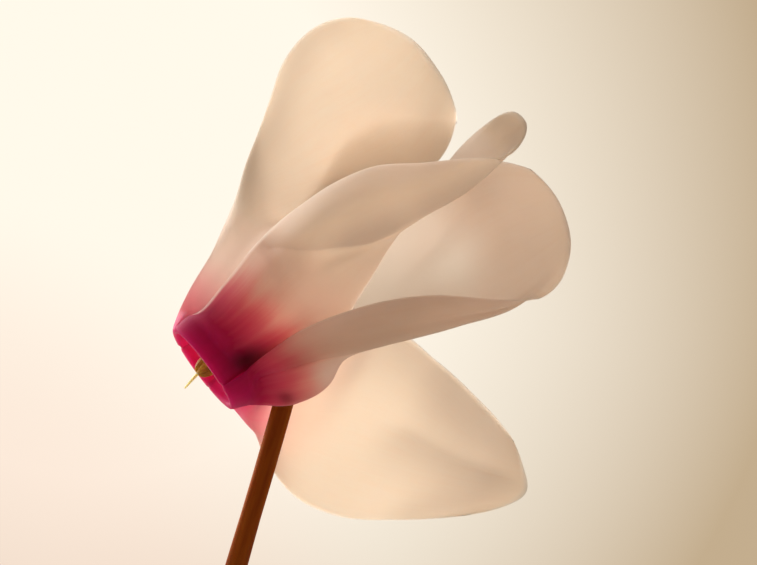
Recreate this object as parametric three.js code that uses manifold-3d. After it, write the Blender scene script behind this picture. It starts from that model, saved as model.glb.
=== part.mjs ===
// Potted cyclamen: terracotta pot, compost, corm, eighteen leaves, four open blooms and three buds.
// Millimetres, +Z up, origin at the centre of the pot's flat underside.
import * as THREE from 'three';
import Module from 'manifold-3d';

const wasm = await Module();
wasm.setup();

// ---- driving dimensions -------------------------------------------------------------------
const POT_H = 105;            // pot height
const POT_BASE_R = 42;        // outer radius at the foot
const POT_BODY_R = 55;        // outer radius just under the rim band
const POT_RIM_R = 61;         // outer radius of the rim band
const POT_RIM_H = 22;         // height of the rim band
const POT_WALL = 5;           // wall thickness
const POT_FLOOR = 6;          // floor thickness
const HOLE_R = 4;             // drain holes
const HOLE_RING_R = 24;
const HOLE_COUNT = 4;
const COMPOST_Z = 94;         // compost level
const CORM_R = 24;            // corm: a flattened globe
const CORM_H = 13;
const CORM_Z = 87;
const GAP = 0.3;              // clearance between neighbouring pieces
const LEAF_T = 0.8;           // leaf blade thickness
const PETAL_T = 0.5;          // petal thickness
const PETIOLE_R = 1.35;       // leaf stalk radius
const STALK_R = 1.60;         // flower stalk radius along its length
const STALK_TOP_R = 1.28;     // and just under the bloom
const BLOOM = [42, -10, 300]; // centre of the tall bloom
// the tube of a bloom, [distance behind the mouth, radius], from its floor over the folded rim
const TUBE = [[7.0, 2.4], [5.2, 4.0], [2.8, 5.0], [0.9, 5.45], [0.05, 5.72], [0.1, 6.02], [0.9, 6.25], [2.2, 6.45]];

// Control rows of the tall bloom's petals, from the rim outwards, five or seven points across each,
// relative to the bloom's centre.
const PETALS = {
  A: [
    [[-22.6, -2.5, -3.3], [-21.5, -4.3, -4.3], [-20.3, -5.5, -5.3], [-19.2, -6.1, -6.7], [-18.1, -6.1, -8.0], [-17.1, -5.4, -9.5], [-16.3, -4.3, -10.9]],
    [[-19.2, -3.0, 0.2], [-18.0, -5.3, -1.0], [-16.7, -7.1, -2.5], [-15.3, -7.9, -4.1], [-13.9, -7.7, -5.7], [-12.7, -6.4, -7.3], [-11.4, -4.7, -8.7]],
    [[-14.3, -5.2, 5.6], [-13.1, -7.5, 4.1], [-11.8, -9.2, 2.5], [-10.3, -9.9, 0.4], [-8.8, -9.0, -1.6], [-6.9, -7.2, -3.7], [-4.7, -5.2, -5.5]],
    [[-8.9, -8.6, 9.9], [-8.3, -12.6, 7.2], [-7.4, -11.6, 4.7], [-6.1, -10.0, 3.1], [-4.8, -9.7, 1.6], [-3.3, -8.2, 0.1], [-1.9, -5.8, -1.0]],
    [[-2.2, -11.0, 13.4], [-2.3, -14.4, 10.3], [-1.8, -13.8, 7.3], [-0.9, -11.0, 4.8], [0.1, -9.6, 4.4], [0.8, -7.8, 4.4], [1.4, -5.2, 4.6]],
    [[5.6, -12.6, 14.3], [5.1, -14.4, 12.1], [5.1, -14.0, 10.0], [5.6, -11.8, 8.2], [6.0, -8.8, 8.8], [6.3, -6.0, 10.4], [6.5, -3.6, 12.2]],
    [[11.0, -14.0, 14.8], [11.0, -13.8, 13.8], [11.1, -13.1, 12.6], [11.5, -11.7, 11.7], [11.5, -9.8, 12.9], [11.0, -8.2, 14.9], [10.2, -7.0, 16.8]],
    [[14.4, -14.0, 14.5], [15.6, -12.9, 15.3], [16.9, -11.9, 16.4], [17.8, -11.0, 18.0], [17.7, -10.1, 19.6], [16.3, -9.3, 20.7], [14.2, -8.2, 19.9]],
  ],
  B: [
    [[-15.8, -5.7, -10.4], [-15.6, -5.7, -11.0], [-15.5, -5.5, -11.6], [-15.3, -5.0, -12.2], [-15.1, -3.6, -13.2], [-14.8, -2.0, -14.2], [-14.5, -0.4, -15.3]],
    [[-12.2, -8.3, -7.6], [-11.9, -8.9, -8.6], [-11.6, -9.3, -9.5], [-11.2, -9.2, -10.5], [-10.7, -6.8, -11.9], [-10.3, -4.4, -13.5], [-10.1, -1.8, -15.0]],
    [[-8.6, -11.3, -5.4], [-8.2, -12.3, -6.5], [-7.6, -12.9, -7.8], [-6.9, -12.6, -9.1], [-6.4, -9.2, -10.5], [-5.9, -6.2, -11.6], [-5.9, -3.1, -12.1]],
    [[-4.3, -14.2, -3.6], [-4.1, -15.4, -4.9], [-3.6, -15.4, -6.6], [-2.8, -13.8, -8.3], [-2.8, -9.6, -8.2], [-3.6, -6.0, -6.9], [-4.9, -2.8, -5.0]],
    [[0.9, -15.6, -2.2], [1.1, -16.8, -3.8], [1.6, -16.6, -5.5], [2.7, -14.8, -6.8], [2.2, -8.8, -4.3], [0.4, -3.4, -0.7], [-2.6, 0.8, 2.6]],
    [[7.3, -15.6, -1.6], [7.7, -16.5, -2.8], [8.5, -16.0, -4.1], [9.6, -14.2, -4.8], [9.0, -7.6, -0.2], [7.1, -2.8, 4.9], [4.3, 0.8, 10.0]],
    [[13.9, -14.2, -2.0], [14.8, -13.9, -2.6], [16.0, -13.2, -2.6], [17.1, -11.6, -1.9], [16.2, -6.4, 4.1], [14.2, -2.8, 9.8], [11.1, -0.2, 14.9]],
    [[19.1, -12.6, -2.0], [21.0, -11.6, -0.9], [22.4, -10.6, 1.0], [23.3, -9.4, 4.2], [23.0, -7.2, 7.5], [21.6, -5.2, 10.9], [18.8, -3.6, 14.0]],
  ],
  C: [
    [[-22.7, 5.8, -3.4], [-23.7, 3.6, -2.2], [-23.9, 1.2, -1.8], [-23.4, -0.5, -2.3], [-22.4, -1.1, -3.2]],
    [[-20.1, 6.4, 5.0], [-20.8, 3.8, 4.1], [-20.5, 1.0, 3.6], [-18.9, -0.6, 2.6], [-16.5, -1.4, 1.1]],
    [[-17.6, 7.4, 11.0], [-18.3, 4.6, 9.6], [-17.4, 2.2, 8.1], [-15.3, 0.6, 6.5], [-12.5, -0.6, 4.9]],
    [[-16.1, 9.0, 17.1], [-16.4, 6.8, 14.6], [-13.8, 5.0, 11.4], [-11.2, 4.2, 8.2], [-9.1, 8.4, 11.6]],
    [[-14.2, 10.4, 23.3], [-12.7, 9.6, 19.2], [-9.0, 7.8, 13.1], [-5.5, 8.6, 11.5], [-5.3, 14.6, 18.9]],
    [[-12.3, 11.6, 28.8], [-8.9, 12.6, 23.8], [-3.4, 11.4, 15.6], [1.2, 11.4, 13.2], [-1.1, 18.0, 21.5]],
    [[-9.2, 14.4, 32.9], [-4.3, 15.2, 26.9], [2.5, 13.8, 18.9], [7.0, 13.4, 15.3], [5.2, 18.2, 21.5]],
    [[-3.5, 16.6, 35.0], [3.9, 16.6, 32.5], [8.2, 15.2, 27.4], [10.0, 14.6, 23.1], [10.1, 15.2, 20.8]],
  ],
  D: [
    [[-14.6, 1.6, -15.0], [-15.3, 2.4, -16.1], [-16.1, 3.8, -17.3], [-16.4, 6.0, -18.2], [-16.1, 8.4, -18.4]],
    [[-13.1, 3.8, -14.6], [-13.8, 5.0, -16.1], [-14.5, 6.4, -17.7], [-15.2, 8.0, -19.3], [-15.6, 10.4, -20.4]],
    [[-9.4, 6.6, -12.5], [-10.6, 8.0, -15.1], [-12.2, 9.2, -18.2], [-13.9, 10.6, -21.0], [-15.0, 12.6, -22.3]],
    [[-4.1, 9.6, -9.2], [-6.0, 10.8, -13.9], [-8.8, 11.6, -18.9], [-11.7, 12.6, -22.9], [-13.7, 14.2, -24.9]],
    [[1.8, 12.6, -6.4], [-0.6, 13.2, -13.2], [-4.1, 13.6, -19.9], [-7.8, 14.2, -25.1], [-10.6, 15.2, -28.4]],
    [[7.7, 15.4, -10.3], [5.2, 15.4, -16.2], [1.6, 15.0, -22.2], [-2.0, 15.4, -27.4], [-5.1, 16.2, -30.8]],
    [[14.4, 18.2, -16.6], [11.6, 17.4, -20.8], [8.4, 17.2, -24.9], [5.5, 17.4, -28.9], [2.8, 17.6, -31.4]],
    [[17.9, 20.2, -21.1], [19.1, 19.4, -24.0], [19.7, 18.8, -27.6], [17.1, 18.8, -29.6], [11.6, 18.4, -30.9]],
  ],
  E: [
    [[-18.3, 7.4, -10.2], [-18.8, 8.0, -9.2], [-19.3, 8.2, -8.0], [-19.9, 7.8, -6.6], [-20.8, 6.6, -5.3]],
    [[-12.0, 9.0, -8.0], [-13.3, 10.6, -6.7], [-14.6, 11.2, -4.9], [-15.9, 10.8, -3.0], [-17.1, 9.6, -1.2]],
    [[-7.0, 12.0, -4.6], [-8.4, 14.0, -2.3], [-10.0, 14.8, 0.3], [-11.6, 14.4, 2.7], [-13.1, 12.6, 4.2]],
    [[-1.1, 15.4, -2.8], [-2.4, 17.4, 0.1], [-4.0, 18.6, 3.3], [-5.8, 18.4, 6.2], [-7.5, 16.6, 8.8]],
    [[4.5, 19.2, 0.1], [3.1, 21.2, 3.0], [1.5, 22.2, 6.6], [-0.3, 22.2, 10.0], [-2.2, 21.0, 12.4]],
    [[8.0, 23.2, 3.3], [7.2, 24.6, 6.7], [5.9, 25.6, 9.8], [4.0, 25.6, 12.7], [2.0, 25.0, 14.3]],
    [[9.5, 27.0, 6.6], [9.8, 28.0, 9.6], [9.0, 28.4, 12.1], [7.0, 28.4, 13.9], [5.1, 28.0, 14.7]],
  ],
};
// where each petal's share of the tube begins and ends, degrees about the bloom's axis
const SHARE = { A: [76, -32], B: [-32, -97], C: [138, 76], D: [-97, -160], E: [204, 138] };
// the tall bloom's two outermost rings, petal by petal: [behind the mouth, radius] at either margin
const FOLD = {
  A: [[[0.9, 6.25], [0.9, 6.25]], [[2.2, 6.5], [2.2, 6.4]]],
  B: [[[0.9, 6.25], [0.45, 6.35]], [[2.2, 6.4], [1.3, 7.0]]],
  C: [[[0.4, 6.55], [0.5, 6.35]], [[1.3, 7.6], [1.7, 6.9]]],
  D: [[[0.7, 6.2], [0.25, 6.3]], [[1.9, 6.4], [0.4, 7.1]]],
  E: [[[0.8, 6.2], [0.8, 6.2]], [[2.0, 6.5], [2.0, 6.5]]],
};

// ---- vectors ------------------------------------------------------------------------------
const V = (x, y, z) => new THREE.Vector3(x, y, z);
const mix = (a, b, t) => a + (b - a) * t;
const rad = (d) => d * Math.PI / 180;
const clamp01 = (x) => Math.min(1, Math.max(0, x));
const smooth = (x) => { const t = clamp01(x); return t * t * (3 - 2 * t); };

// ---- closed bodies ------------------------------------------------------------------------
function body(points, tris) {
  const pos = new Float32Array(points.length * 3);
  points.forEach((p, i) => { pos[3 * i] = p.x; pos[3 * i + 1] = p.y; pos[3 * i + 2] = p.z; });
  let vol = 0;
  for (const [a, b, c] of tris) {
    const A = points[a], B = points[b], C = points[c];
    vol += A.dot(V().copy(B).cross(C));
  }
  const idx = [];
  for (const [a, b, c] of tris) vol > 0 ? idx.push(a, b, c) : idx.push(a, c, b);
  const g = new THREE.BufferGeometry();
  g.setAttribute('position', new THREE.BufferAttribute(pos, 3));
  g.setIndex(idx);
  g.computeVertexNormals();
  return g;
}

function toSolid(g) {
  return new wasm.Manifold(new wasm.Mesh({
    numProp: 3,
    vertProperties: new Float32Array(g.attributes.position.array),
    triVerts: new Uint32Array(g.index.array),
  }));
}
function fromSolid(s) {
  const m = s.getMesh();
  const n = m.numProp, pos = new Float32Array(m.vertProperties.length / n * 3);
  for (let i = 0; i < pos.length / 3; i++) for (let k = 0; k < 3; k++) pos[3 * i + k] = m.vertProperties[i * n + k];
  const g = new THREE.BufferGeometry();
  g.setAttribute('position', new THREE.BufferAttribute(pos, 3));
  g.setIndex(Array.from(m.triVerts));
  g.computeVertexNormals();
  return g;
}

// a thin sheet given as a grid of points, thickened to both sides along its normals
function sheet(grid, thick) {
  const nu = grid.length, nv = grid[0].length, pts = [], tris = [];
  const normal = (i, j) => {
    const i0 = Math.max(0, i - 1), i1 = Math.min(nu - 1, i + 1), j0 = Math.max(0, j - 1), j1 = Math.min(nv - 1, j + 1);
    const du = V().subVectors(grid[i1][j], grid[i][j]).normalize().add(V().subVectors(grid[i][j], grid[i0][j]).normalize());
    const dv = V().subVectors(grid[i][j1], grid[i][j0]);
    return du.cross(dv).normalize();
  };
  for (const side of [1, -1]) for (let i = 0; i < nu; i++) for (let j = 0; j < nv; j++)
    pts.push(V().copy(grid[i][j]).addScaledVector(normal(i, j), side * thick / 2));
  const at = (s, i, j) => s * nu * nv + i * nv + j;
  for (let i = 0; i < nu - 1; i++) for (let j = 0; j < nv - 1; j++) {
    const a = grid[i][j].distanceTo(grid[i + 1][j + 1]) < grid[i + 1][j].distanceTo(grid[i][j + 1]);
    for (const s of [0, 1]) {
      const q = [at(s, i, j), at(s, i + 1, j), at(s, i + 1, j + 1), at(s, i, j + 1)];
      const t = a ? [[q[0], q[1], q[2]], [q[0], q[2], q[3]]] : [[q[0], q[1], q[3]], [q[1], q[2], q[3]]];
      for (const f of t) tris.push(s ? [f[0], f[2], f[1]] : f);
    }
  }
  const loop = [];
  for (let j = 0; j < nv - 1; j++) loop.push([0, j]);
  for (let i = 0; i < nu - 1; i++) loop.push([i, nv - 1]);
  for (let j = nv - 1; j > 0; j--) loop.push([nu - 1, j]);
  for (let i = nu - 1; i > 0; i--) loop.push([i, 0]);
  loop.forEach(([i, j], k) => {
    const [m, n] = loop[(k + 1) % loop.length];
    tris.push([at(0, i, j), at(0, m, n), at(1, m, n)], [at(0, i, j), at(1, m, n), at(1, i, j)]);
  });
  return body(pts, tris);
}

// a round stem along a path, closed at both ends
function stem(path, radii, sides) {
  const n = path.length, pts = [], tris = [];
  const tan = (i) => V().subVectors(path[Math.min(n - 1, i + 1)], path[Math.max(0, i - 1)]).normalize();
  let u = Math.abs(tan(0).x) < 0.9 ? V(1, 0, 0) : V(0, 1, 0);
  for (let i = 0; i < n; i++) {
    const t = tan(i);
    u = V().copy(u).addScaledVector(t, -u.dot(t)).normalize();
    const w = V().crossVectors(t, u);
    for (let k = 0; k < sides; k++) {
      const a = 2 * Math.PI * k / sides;
      pts.push(V().copy(path[i]).addScaledVector(u, radii[i] * Math.cos(a)).addScaledVector(w, radii[i] * Math.sin(a)));
    }
  }
  const a0 = pts.push(V().copy(path[0])) - 1, a1 = pts.push(V().copy(path[n - 1])) - 1;
  for (let i = 0; i < n - 1; i++) for (let k = 0; k < sides; k++) {
    const m = (k + 1) % sides, p = i * sides, q = p + sides;
    tris.push([p + k, p + m, q + m], [p + k, q + m, q + k]);
  }
  for (let k = 0; k < sides; k++) {
    const m = (k + 1) % sides, e = (n - 1) * sides;
    tris.push([a0, m, k], [a1, e + k, e + m]);
  }
  return body(pts, tris);
}

function curve(points, count) {
  const c = new THREE.CatmullRomCurve3(points, false, 'centripetal');
  c.arcLengthDivisions = 400;
  return c.getSpacedPoints(count);
}

// a body turned about an axis; the profile starts and ends on the axis
function turned(profile, segs, frame = [V(0, 0, 0), V(1, 0, 0), V(0, 1, 0), V(0, 0, 1)], shape = null) {
  const [O, E1, E2, E3] = frame, pts = [], rows = [], tris = [];
  for (let i = 0; i < profile.length; i++) {
    const row = [];
    for (let k = 0; k < segs; k++) {
      const a = 2 * Math.PI * k / segs;
      let [r, z] = profile[i];
      if (r === 0) {
        if (k === 0) row.push(pts.push(V().copy(O).addScaledVector(E3, z)) - 1); else row.push(row[0]);
        continue;
      }
      if (shape) [r, z] = shape(r, z, a, i, k);
      row.push(pts.push(V().copy(O).addScaledVector(E1, r * Math.cos(a)).addScaledVector(E2, r * Math.sin(a)).addScaledVector(E3, z)) - 1);
    }
    rows.push(row);
  }
  for (let i = 0; i < rows.length - 1; i++) for (let k = 0; k < segs; k++) {
    const m = (k + 1) % segs, a = rows[i][k], b = rows[i][m], c = rows[i + 1][m], d = rows[i + 1][k];
    if (a !== b) tris.push([a, b, c === d ? c : c]);
    if (c !== d) tris.push([a, c, d]);
  }
  return body(pts, tris);
}

// ---- smooth sheets through control rows ---------------------------------------------------
function slopes(P, t) {
  const n = P.length, d = [];
  for (let i = 0; i < n - 1; i++) d.push(V().subVectors(P[i + 1], P[i]).divideScalar(t[i + 1] - t[i]));
  const M = [];
  for (let i = 0; i < n; i++) {
    if (i === 0 || i === n - 1) { M.push(null); continue; }
    const h0 = t[i] - t[i - 1], h1 = t[i + 1] - t[i];
    M.push(V().copy(d[i - 1]).multiplyScalar(h1 / (h0 + h1)).addScaledVector(d[i], h0 / (h0 + h1)));
  }
  M[0] = V().copy(d[0]).multiplyScalar(2).sub(M[1] ?? d[0]);
  M[n - 1] = V().copy(d[n - 2]).multiplyScalar(2).sub(M[n - 2] ?? d[n - 2]);
  return M;
}
function along(P, t, M, x) {
  let i = 0;
  while (i < t.length - 2 && x >= t[i + 1]) i++;
  const h = t[i + 1] - t[i], s = (x - t[i]) / h, s2 = s * s, s3 = s2 * s;
  return V().addScaledVector(P[i], 2 * s3 - 3 * s2 + 1).addScaledVector(M[i], (s3 - 2 * s2 + s) * h)
    .addScaledVector(P[i + 1], 3 * s2 - 2 * s3).addScaledVector(M[i + 1], (s3 - s2) * h);
}
function patch(rows, us, nv) {
  const R = rows.length, C = rows[0].length, t = [0];
  for (let i = 0; i < R - 1; i++) {
    let s = 0;
    for (let j = 0; j < C; j++) s += rows[i][j].distanceTo(rows[i + 1][j]);
    t.push(t[i] + Math.max(0.05, s / C));
  }
  const cols = [];
  for (let j = 0; j < C; j++) { const P = rows.map((r) => r[j]); cols.push([P, slopes(P, t)]); }
  const tc = Array.from({ length: C }, (_, j) => j);
  return us.map((u) => {
    const i = Math.min(R - 2, Math.floor(u)), x = mix(t[i], t[i + 1], u - i);
    const r = cols.map(([P, M]) => along(P, t, M, x)), m = slopes(r, tc);
    return Array.from({ length: nv }, (_, j) => along(r, tc, m, (C - 1) * j / (nv - 1)));
  });
}

// ---- blooms -------------------------------------------------------------------------------
// a bloom's own frame: mouth centre, axis from the mouth to the calyx, up, and front
function bloomFrame(mouth, axis) {
  const AX = V().copy(axis).normalize();
  const h = V(AX.x, AX.y, 0).normalize();
  const UP = V().copy(h).multiplyScalar(-AX.z).add(V(0, 0, Math.hypot(AX.x, AX.y)));
  return { mouth, AX, UP, FR: V().crossVectors(AX, UP) };
}
const inBloom = (f, s, r, deg) => V().copy(f.mouth).addScaledVector(f.AX, s)
  .addScaledVector(f.FR, r * Math.cos(rad(deg))).addScaledVector(f.UP, r * Math.sin(rad(deg)));
const tubeRows = (f, a, b, k = 1, n = 5, fold = null) => {
  const e = Math.sign(b - a) * 2.4;
  // outside the fold one margin rides over its neighbour and the other is tucked under
  return TUBE.map((ring, i) => Array.from({ length: n }, (_, j) => {
    const q = j / (n - 1);
    const [s, r] = fold && i > 5 ? [0, 1].map((m) => mix(fold[i - 6][0][m], fold[i - 6][1][m], q)) : ring;
    return inBloom(f, s * k, (r + (i < 6 ? 0 : (i - 5) * mix(0.26, -0.14, q))) * k, mix(a + e, b - e, q));
  }));
};

// calyx: a shallow five-pointed cup behind the tube
function calyx(f, k) {
  const P = [[0, 7.5], [2.6, 7.42], [4.75, 5.6], [5.75, 3.9], [6.0, 4.0], [5.2, 6.4], [3.4, 8.0], [1.7, 9.0], [0, 9.0]];
  return turned(P.map(([r, s]) => [r * k, s * k]), 20, [f.mouth, f.FR, f.UP, f.AX], (r, s, a, i) => {
    if (i !== 3 && i !== 4) return [r, s];
    const c = 0.5 + 0.5 * Math.cos(5 * a);
    return [r - (1 - c) * 0.35 * k, s + (1 - c) * 1.5 * k];
  });
}

// petal of a nodding bloom: [behind mouth, radius, half width, twist, hollow]
const REFLEXED = [
  [5.0, 8.2, 4.5, 12, 1.3], [10, 10.4, 5.6, 26, 1.7], [17, 12.8, 7.6, 44, 2.1], [25, 15.0, 8.6, 58, 2.3],
  [32, 17.0, 8.0, 68, 1.9], [37, 18.6, 6.0, 76, 1.2], [39.6, 19.6, 3.2, 80, 0.5]];
const PETAL_ANGLES = [9, 81, 153, -135, -63];
const PETAL_PARTING = [9, 0, -9, -18, 18]; // petals move aside to let the stalk in
function noddingRows(f, k, i, vary) {
  const th = PETAL_ANGLES[i], rows = tubeRows(f, th + 36, th - 36, k);
  REFLEXED.forEach(([s, r, w, tw, cup], n) => {
    const a = th + PETAL_PARTING[i] * smooth(s / 7) + vary.turn * s / 40;
    const q = n / (REFLEXED.length - 1);
    const rr = r + vary.open * q * q, ww = w * mix(1, vary.width, q), tt = -rad(tw + vary.twist * q);
    const c = inBloom(f, s * k, rr * k, a), er = V().subVectors(inBloom(f, 0, 1, a), f.mouth), et = V().crossVectors(f.AX, er);
    // et runs towards smaller angles so that the rows continue the tube's rows
    if (et.dot(V().subVectors(inBloom(f, 0, 1, a - 1), inBloom(f, 0, 1, a))) < 0) et.negate();
    const chord = V().copy(et).multiplyScalar(Math.cos(tt)).addScaledVector(er, Math.sin(tt));
    const out = V().copy(er).multiplyScalar(Math.cos(tt)).addScaledVector(et, -Math.sin(tt));
    rows.push([-1, -0.5, 0, 0.5, 1].map((x) => V().copy(c).addScaledVector(chord, x * ww * k).addScaledVector(out, cup * k * (0.45 - x * x))));
  });
  return rows;
}

// ---- leaves -------------------------------------------------------------------------------
// outline of the heart-shaped blade about the top of its petiole, radius for an angle off the midrib
const OUTLINE = [[0, 1.0], [12, 0.955], [30, 0.9], [50, 0.86], [75, 0.81], [100, 0.76], [125, 0.7], [148, 0.59], [168, 0.42]];
function outline(deg) {
  const a = Math.abs(deg);
  for (let i = 0; i < OUTLINE.length - 1; i++) if (a <= OUTLINE[i + 1][0]) {
    const t = (a - OUTLINE[i][0]) / (OUTLINE[i + 1][0] - OUTLINE[i][0]);
    return mix(OUTLINE[i][1], OUTLINE[i + 1][1], t);
  }
  return OUTLINE.at(-1)[1];
}
function leafPoint(L, deg, q) {
  const R = L.size * outline(deg) * q, x = R * Math.cos(rad(deg)), y = R * Math.sin(rad(deg));
  const e = R / L.size;
  const z = L.dish * e * (1 - e) * 2 - L.droop * e * e + L.wave * q * q * Math.sin(rad(deg) * 4 + L.phase);
  const c = Math.cos(L.tilt), s = Math.sin(L.tilt);
  const X = x * c - z * s, Z = x * s + z * c;
  const ca = Math.cos(L.face), sa = Math.sin(L.face);
  return V(L.top.x + X * ca - y * sa, L.top.y + X * sa + y * ca, L.top.z + Z);
}
function leaf(L) {
  const NA = 16, Q = [0.55, 1], pts = [], tris = [];
  const grid = (q, i) => leafPoint(L, mix(-168, 168, i / NA), q);
  const up = V(-Math.sin(L.tilt) * Math.cos(L.face), -Math.sin(L.tilt) * Math.sin(L.face), Math.cos(L.tilt));
  const n = 1 + Q.length * (NA + 1);
  for (const s of [0.5, -0.5]) {
    pts.push(V().copy(L.top).addScaledVector(up, s * LEAF_T));
    for (const q of Q) for (let i = 0; i <= NA; i++) pts.push(grid(q, i).addScaledVector(up, s * LEAF_T * (q === 1 ? 0.6 : 1)));
  }
  const at = (s, k, i) => s * n + (k < 0 ? 0 : 1 + k * (NA + 1) + i);
  for (const s of [0, 1]) {
    const add = (a, b, c) => tris.push(s ? [a, c, b] : [a, b, c]);
    for (let i = 0; i < NA; i++) {
      add(at(s, -1, 0), at(s, 0, i), at(s, 0, i + 1));
      for (let k = 0; k < Q.length - 1; k++) {
        add(at(s, k, i), at(s, k + 1, i), at(s, k + 1, i + 1));
        add(at(s, k, i), at(s, k + 1, i + 1), at(s, k, i + 1));
      }
    }
  }
  const loop = [[-1, 0]];
  for (let k = 0; k < Q.length; k++) loop.push([k, 0]);
  for (let i = 1; i <= NA; i++) loop.push([Q.length - 1, i]);
  for (let k = Q.length - 2; k >= 0; k--) loop.push([k, NA]);
  loop.forEach(([k, i], e) => {
    const [m, j] = loop[(e + 1) % loop.length];
    tris.push([at(1, k, i), at(1, m, j), at(0, m, j)], [at(1, k, i), at(0, m, j), at(0, k, i)]);
  });
  const blade = body(pts, tris);
  const tip = leafPoint(L, 0, 0.06).addScaledVector(up, -0.9);
  const path = curve([...L.path, tip], 7);
  const rr = path.map((_, i) => mix(PETIOLE_R * 1.1, PETIOLE_R * 0.8, i / (path.length - 1)));
  return fromSolid(toSolid(blade).add(toSolid(stem(path, rr, 6))));
}

// ---- where everything stands --------------------------------------------------------------
const polar = (r, deg, z) => V(r * Math.cos(rad(deg)), r * Math.sin(rad(deg)), z);
// lowest height at which a stem of radius w clears the corm at distance r from the axis
const onCorm = (r, w) => CORM_Z + CORM_H * Math.sqrt(Math.max(0, 1 - ((Math.max(0, r - w)) / CORM_R) ** 2)) + 0.45;

// leaves, ring by ring: [azimuth, reach of the petiole, height, blade size, tilt, turn of the blade]
const LEAVES = [
  [4, 72, 133, 39, -24, 6], [55, 74, 129, 41, -28, -8], [108, 71, 135, 38, -22, 5], [158, 75, 130, 40, -27, -5],
  [211, 72, 134, 39, -25, 8], [262, 74, 128, 41, -29, -6], [313, 71, 134, 38, -23, 4],
  [30, 53, 149, 36, -16, -6], [88, 54, 146, 35, -18, 7], [147, 52, 150, 36, -14, -4], [209, 54, 147, 34, -19, -7],
  [269, 53, 150, 36, -15, 6], [329, 54, 146, 35, -17, 5],
  [8, 35, 163, 30, -8, 8], [82, 36, 160, 29, -10, -8], [151, 35, 164, 30, -6, 6], [224, 36, 161, 29, -9, -6], [296, 35, 163, 30, -7, 4],
];
function leafSpec([az, reach, z, size, tilt, turn], i) {
  const r0 = i < 7 ? 18 : i < 13 ? 13.6 : 9.6;
  const start = polar(r0, az + (i % 2 ? 2 : -2), onCorm(r0, PETIOLE_R * 1.2) + 0.35);
  const top = polar(reach, az, z);
  const a = polar(mix(r0, reach, i < 7 ? 0.2 : 0.14), az, mix(start.z, z, 0.42));
  const b = polar(mix(r0, reach, i < 7 ? 0.56 : 0.5), az, mix(start.z, z, i < 7 ? 0.83 : 0.8));
  return { top, size, tilt: rad(tilt), face: rad(az + turn), dish: 2.2, droop: 3.0 + (i % 3) * 0.8, wave: 0.9, phase: i * 1.7, path: [start, a, b] };
}

// other open blooms: [azimuth of the mouth, reach, mouth height, rise of the axis, scale, vary]
const BLOOMS = [
  [166, 42, 203, 58, 0.92, { turn: 6, open: 1.5, width: 1.0, twist: 4 }],
  [266, 46, 196, 62, 0.88, { turn: -8, open: 0.5, width: 0.95, twist: -4 }],
  [44, 47, 201, 56, 0.95, { turn: 0, open: 2.5, width: 1.05, twist: 0 }],
];
// closed buds: [azimuth, reach, height of the bend, length, radius]
const BUDS = [[112, 21, 198, 21, 3.3], [205, 24, 190, 19, 3.0], [330, 24, 193, 17, 2.7]];

// ---- assembly -----------------------------------------------------------------------------
const root = new THREE.Group();
root.name = 'potted_cyclamen';
const skins = {
  terracotta: [0xb5623c, 0.85], compost: [0x3a2a1e, 0.95], corm: [0x5a4030, 0.9], leaf: [0x3d6b3c, 0.55],
  stalk: [0x7a3a22, 0.55], calyx: [0x5c4630, 0.6], petal: [0xf1ddd0, 0.5], pistil: [0xc8a020, 0.6], bud: [0xd88aa0, 0.5],
};
function add(name, geometry, skin) {
  const [color, roughness] = skins[skin];
  const m = new THREE.Mesh(geometry, new THREE.MeshStandardMaterial({ color, roughness, metalness: 0 }));
  m.name = name;
  root.add(m);
}

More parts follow.
